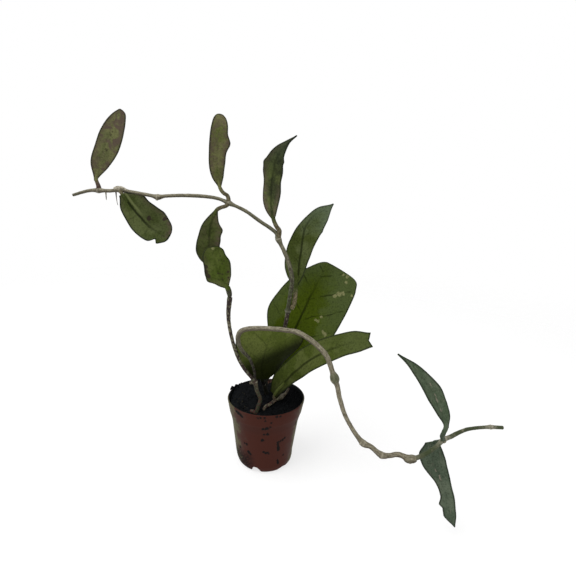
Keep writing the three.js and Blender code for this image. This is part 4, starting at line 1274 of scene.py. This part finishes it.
class HOYA_OT_pot(bpy.types.Operator):
    """Turn the nursery pot, cut its drain holes and foot notches and finish its plastic"""

    bl_idname = "hoya.pot"
    bl_label = "Pot"

    def execute(self, context):
        settings = context.scene.hoya_pot
        rim, top, wall = settings.rim_radius / MM, settings.height / MM, settings.wall / MM
        foot = settings.foot_radius / MM
        collar = top - settings.collar_depth / MM
        outer, body, lower = rim - COLLAR_TAPER, rim - 4, foot + 3.1
        below = [(0, 0), (PAD_RADIUS, 0), (PAD_RADIUS + 0.6, 1.2), (foot - 2.6, 1.2), (foot - 2, 0)]
        outside = [
            (foot + 0.5, 0), (foot + 1.95, 1.9), (foot + 2.8, 5), (lower, 8.6), (body - 0.1, collar - 8),
            (body + 0.6, collar - 4.4), (outer - 0.7, collar - 1), (outer + 0.1, collar + 1.4),
            (rim, top - 0.4), (rim - 0.4, top),
        ]
        inside = [
            (rim - wall, top), (outer - wall, collar + 0.4), (body - wall, collar - 3.8),
            (lower - wall, 8.6), (foot + 1, 4.2), (foot - 2.6, 2.2), (0, 2.2),
        ]
        bm = bmesh.new()
        turned(bm, [*below, *outside, *inside], steps=144, rounding=0.28)
        for vertex in bm.verts:
            angle = math.atan2(vertex.co.y, vertex.co.x)
            rise = max(0.0, vertex.co.z / top)
            sway = 0.12 * rise * math.sin(2 * angle + 0.6) + 0.05 * math.sin(5 * angle + 3 * rise)
            flat = Vector((vertex.co.x, vertex.co.y, 0))
            if flat.length > foot - 3 and vertex.co.z > 2.5:
                vertex.co += flat.normalized() * (sway + WIDENING * rise)
        pot = finish_piece(bm, "pot", plastic_finish(settings))
        cutters = []
        for turn in range(NOTCHES):
            angle = FRONT_NOTCH_ANGLE + turn * 2 * math.pi / NOTCHES
            cutters.append(arch_cutter(settings, angle, NOTCH_HEIGHT if turn else FRONT_NOTCH_HEIGHT))
        away = (PAD_RADIUS + foot - 2) / 2
        for turn in range(DRAIN_HOLES):
            angle = (turn + 0.5) * 2 * math.pi / DRAIN_HOLES
            drill = bmesh.new()
            place = Matrix.Translation((away * math.cos(angle), away * math.sin(angle), 0))
            bmesh.ops.create_cone(drill, cap_ends=True, segments=32, radius1=DRAIN_RADIUS,
                                  radius2=DRAIN_RADIUS, depth=7, matrix=place)
            cutters.append(drill)
        cut_away(pot, cutters)
        for vertex in pot.data.vertices:
            vertex.co.x -= leaned(vertex.co.z / MM) * MM
        return {"FINISHED"}


def soil_finish(settings):
    """Near-black peat with lighter crumbs."""
    earth = Finish("soil_peat", 0.95, 0.04)
    shade = earth.reading("shade")
    grain = earth.between(earth.noise(0.8, 4, roughness=0.7), 0.35, 0.7)
    color = earth.mix(shade, settings.peat, settings.bark)
    color = earth.mix(earth.times(grain, 0.25), color, settings.bark)
    color = earth.mix(earth.between(shade, 1.2, 1.8), color, settings.grit)
    return earth.done(color, grain, 0.3, 0.9)


class HOYA_OT_soil(bpy.types.Operator):
    """Fill the pot with crumbly soil and scatter loose crumbs and bark chips on it"""

    bl_idname = "hoya.soil"
    bl_label = "Soil"

    def execute(self, context):
        settings = context.scene.hoya_soil
        bm = bmesh.new()
        filling = [
            (0, 2.5), (16.8, 2.5), (20.4, 4.5), (21.5, 8.9), (24.7, 40), (26.9, 44.2), (SOIL_EDGE, 48.5),
        ]
        surface = [(SOIL_EDGE * ring / SOIL_RINGS, SOIL_LEVEL) for ring in range(SOIL_RINGS, -1, -1)]
        turned(bm, [*filling, *surface], steps=150, rounding=0.05)
        layer = bm.verts.layers.float.new("shade")
        for vertex in bm.verts:
            if vertex.co.z > SOIL_LEVEL - 0.4:
                x, y = vertex.co.x, vertex.co.y
                vertex.co.z = float(soil_height(x, y)) + soil_lumps(x, y)
                vertex[layer] = max(0, 0.18 - 0.01 * x + 0.4 * noise.noise(Vector((x, y, 0)) / 3))
        chance = random.Random(SOIL_SEED)
        noise.seed_set(SOIL_SEED)

        def drop(away, angle, size, tone, lowest=0.0):
            """Puts a crumb on the soil, or on the rim where that is higher."""
            x, y = away * math.cos(angle), away * math.sin(angle)
            ground = max(lowest, float(soil_height(x, y)) + soil_lumps(x, y))
            turn = Matrix.Rotation(chance.uniform(0, 6.28), 4, (chance.random(), chance.random(), 0.3))
            squash = Matrix.Diagonal((1, chance.uniform(0.5, 1), chance.uniform(0.35, 0.8), 1))
            place = Matrix.Translation((x, y, ground + 0.35 * size)) @ turn @ squash
            crumb = bmesh.ops.create_icosphere(bm, subdivisions=1, radius=size, matrix=place)["verts"]
            for vertex in crumb:
                vertex.co += noise.noise_vector(vertex.co * 0.9) * size * 0.45
                vertex[layer] = tone

        largest = settings.largest / MM
        for _ in range(settings.crumbs):
            drop((SOIL_EDGE - 0.4) * math.sqrt(chance.random()), chance.uniform(0, 2 * math.pi),
                 largest * (0.25 + 0.75 * chance.random() ** 3), 0.9 * chance.random() ** 3)
        for _ in range(SPILLED_CRUMBS):
            drop(chance.uniform(*SPILLED_REACH), chance.uniform(*SPILLED_ANGLES),
                 chance.uniform(0.4, 0.8) * largest, 0.3 * chance.random(), lowest=POT_HIGH.z - 0.8)
        for *place, size in CLODS:
            clod = bmesh.ops.create_icosphere(bm, subdivisions=2, radius=size,
                                              matrix=Matrix.Translation(place))
            for vertex in clod["verts"]:
                vertex.co += noise.noise_vector(vertex.co * 0.8) * size * 0.5
                vertex[layer] = 0.1
        for _ in range(GRIT_GRAINS):
            drop(chance.uniform(*GRIT_REACH), chance.uniform(*GRIT_ANGLES),
                 chance.uniform(0.2, 0.4) * largest, 1.6)
        for vertex in bm.verts:
            vertex.co.x -= leaned(vertex.co.z)
        finish_piece(bm, "soil", soil_finish(settings))
        return {"FINISHED"}


class HOYA_OT_tall_vine(bpy.types.Operator):
    """Grow the tall vine, which leans left and reaches out at the top"""

    bl_idname = "hoya.tall_vine"
    bl_label = "Tall Vine"

    def execute(self, context):
        vine("vine_tall", TALL_VINE, TALL_PEGS, context.scene.hoya_stem, 1.0)
        return {"FINISHED"}


class HOYA_OT_forked_vine(bpy.types.Operator):
    """Grow the forked vine, with its thin left stem and the long arch that trails to the right"""

    bl_idname = "hoya.forked_vine"
    bl_label = "Forked Vine"

    def execute(self, context):
        vine("vine_forked", FORKED_VINE, FORKED_PEGS, context.scene.hoya_stem, 40.0)
        return {"FINISHED"}


class HOYA_OT_stump(bpy.types.Operator):
    """Grow the old stump that lies across the soil"""

    bl_idname = "hoya.stump"
    bl_label = "Old Stump"

    def execute(self, context):
        vine("old_stump", STUMP, [], context.scene.hoya_stem, 80.0)
        return {"FINISHED"}


class HOYA_OT_leaves(bpy.types.Operator):
    """Grow the twelve waxy leaves with their stalks"""

    bl_idname = "hoya.leaves"
    bl_label = "Leaves"

    def execute(self, context):
        for index, (name, look) in enumerate(LEAVES.items()):
            leaf(name, look, context.scene.hoya_leaf, 2.0 * index)
        return {"FINISHED"}


def lamp(name, power, size, place, target):
    """A soft square light that faces a target."""
    light = bpy.data.lights.new(name, "AREA")
    light.energy = power
    light.size = size
    thing = bpy.data.objects.new(name, light)
    thing.location = place
    thing.rotation_euler = (Vector(target) - Vector(place)).to_track_quat("-Z", "Y").to_euler()
    bpy.context.scene.collection.objects.link(thing)


class HOYA_OT_stage(bpy.types.Operator):
    """Set up the floor, the soft light and the camera"""

    bl_idname = "hoya.stage"
    bl_label = "Stage"

    def execute(self, context):
        settings = context.scene.hoya_stage
        scene = context.scene
        bm = bmesh.new()
        bmesh.ops.create_circle(bm, cap_ends=True, segments=96, radius=FLOOR_FADES[1])
        mesh = bpy.data.meshes.new("floor")
        bm.to_mesh(mesh)
        bm.free()
        floor = bpy.data.objects.new("floor", mesh)
        scene.collection.objects.link(floor)
        ground = Finish("floor_paper", 0.9, 0.1)
        ground.shader.inputs["Base Color"].default_value = settings.floor
        ground.shader.inputs["Emission Color"].default_value = (1, 1, 1, 1)
        ground.shader.inputs["Emission Strength"].default_value = settings.lit
        away = ground.node("ShaderNodeVectorMath", {"operation": "LENGTH"}, Vector=ground.place)
        fade = ground.between(away.outputs["Value"], FLOOR_FADES[1], FLOOR_FADES[0])
        ground.feed(ground.shader.inputs["Alpha"], fade)
        mesh.materials.append(ground.material)

        world = bpy.data.worlds.new("surroundings")
        world.use_nodes = True
        tree = world.node_tree
        sky = tree.nodes["Background"]
        sky.inputs["Color"].default_value = (1, 1, 1, 1)
        way = tree.nodes.new("ShaderNodeTexCoord")
        split = tree.nodes.new("ShaderNodeSeparateXYZ")
        dim = tree.nodes.new("ShaderNodeMapRange")
        dim.interpolation_type = "SMOOTHSTEP"
        dim.inputs["From Min"].default_value, dim.inputs["From Max"].default_value = SKY_CHANGES
        dim.inputs["To Min"].default_value = settings.horizon
        dim.inputs["To Max"].default_value = settings.zenith
        tree.links.new(way.outputs["Generated"], split.inputs[0])
        tree.links.new(split.outputs["Z"], dim.inputs["Value"])
        tree.links.new(dim.outputs["Result"], sky.inputs["Strength"])
        scene.world = world
        scene.view_settings.view_transform = "Standard"
        lamp("key_light", settings.key_power, 0.8, (-0.4, -0.2, 1), (0, 0, 0.1))
        lamp("fill_light", settings.fill_power, 0.6, (0.6, -0.6, 0.35), (0, 0, 0.12))

        tilt, roll = math.radians(CAMERA_TILT), math.radians(CAMERA_ROLL)
        ahead = Vector((0, math.cos(tilt), -math.sin(tilt)))
        above = Vector((0, math.sin(tilt), math.cos(tilt)))
        right = Vector((1, 0, 0))
        camera = bpy.data.cameras.new("camera")
        camera.sensor_width = SENSOR_WIDTH
        camera.lens = FOCAL_PIXELS * SENSOR_WIDTH / PHOTO_PIXELS
        camera.clip_start, camera.clip_end = 0.01, 100
        eye = bpy.data.objects.new("camera", camera)
        across = math.cos(roll) * right + math.sin(roll) * above
        upward = -math.sin(roll) * right + math.cos(roll) * above
        eye.matrix_world = Matrix.Translation(Vector(CAMERA_PLACE) * MM) @ Matrix(
            (across, upward, -ahead)).transposed().to_4x4()
        scene.collection.objects.link(eye)
        scene.camera = eye
        return {"FINISHED"}


class HOYA_PT_panel(bpy.types.Panel):
    """Lists the pieces of the plant and their settings."""

    bl_idname = "HOYA_PT_panel"
    bl_label = "Potted Hoya"
    bl_space_type = "VIEW_3D"
    bl_region_type = "UI"
    bl_category = "Hoya"

    def draw(self, context):
        scene = context.scene
        for settings, operators in PANEL_ROWS.items():
            for operator in operators:
                self.layout.operator(operator.bl_idname)
            group = getattr(scene, settings)
            for name in group.__annotations__:
                self.layout.prop(group, name)


SETTINGS = {
    "hoya_pot": HoyaPotSettings,
    "hoya_soil": HoyaSoilSettings,
    "hoya_stem": HoyaStemSettings,
    "hoya_leaf": HoyaLeafSettings,
    "hoya_stage": HoyaStageSettings,
}
PANEL_ROWS = {
    "hoya_pot": (HOYA_OT_pot,),
    "hoya_soil": (HOYA_OT_soil,),
    "hoya_stem": (HOYA_OT_tall_vine, HOYA_OT_forked_vine, HOYA_OT_stump),
    "hoya_leaf": (HOYA_OT_leaves,),
    "hoya_stage": (HOYA_OT_stage,),
}
OPERATORS = tuple(operator for row in PANEL_ROWS.values() for operator in row)
CLASSES = (*SETTINGS.values(), *OPERATORS, HOYA_PT_panel)


def register():
    for kind in CLASSES:
        bpy.utils.register_class(kind)
    for name, settings in SETTINGS.items():
        setattr(bpy.types.Scene, name, bpy.props.PointerProperty(type=settings))


def unregister():
    for name in SETTINGS:
        delattr(bpy.types.Scene, name)
    for kind in reversed(CLASSES):
        bpy.utils.unregister_class(kind)


def main():
    register()
    bpy.ops.hoya.pot()
    bpy.ops.hoya.soil()
    bpy.ops.hoya.tall_vine()
    bpy.ops.hoya.forked_vine()
    bpy.ops.hoya.stump()
    bpy.ops.hoya.leaves()
    bpy.ops.hoya.stage()


if __name__ == "__main__":
    main()
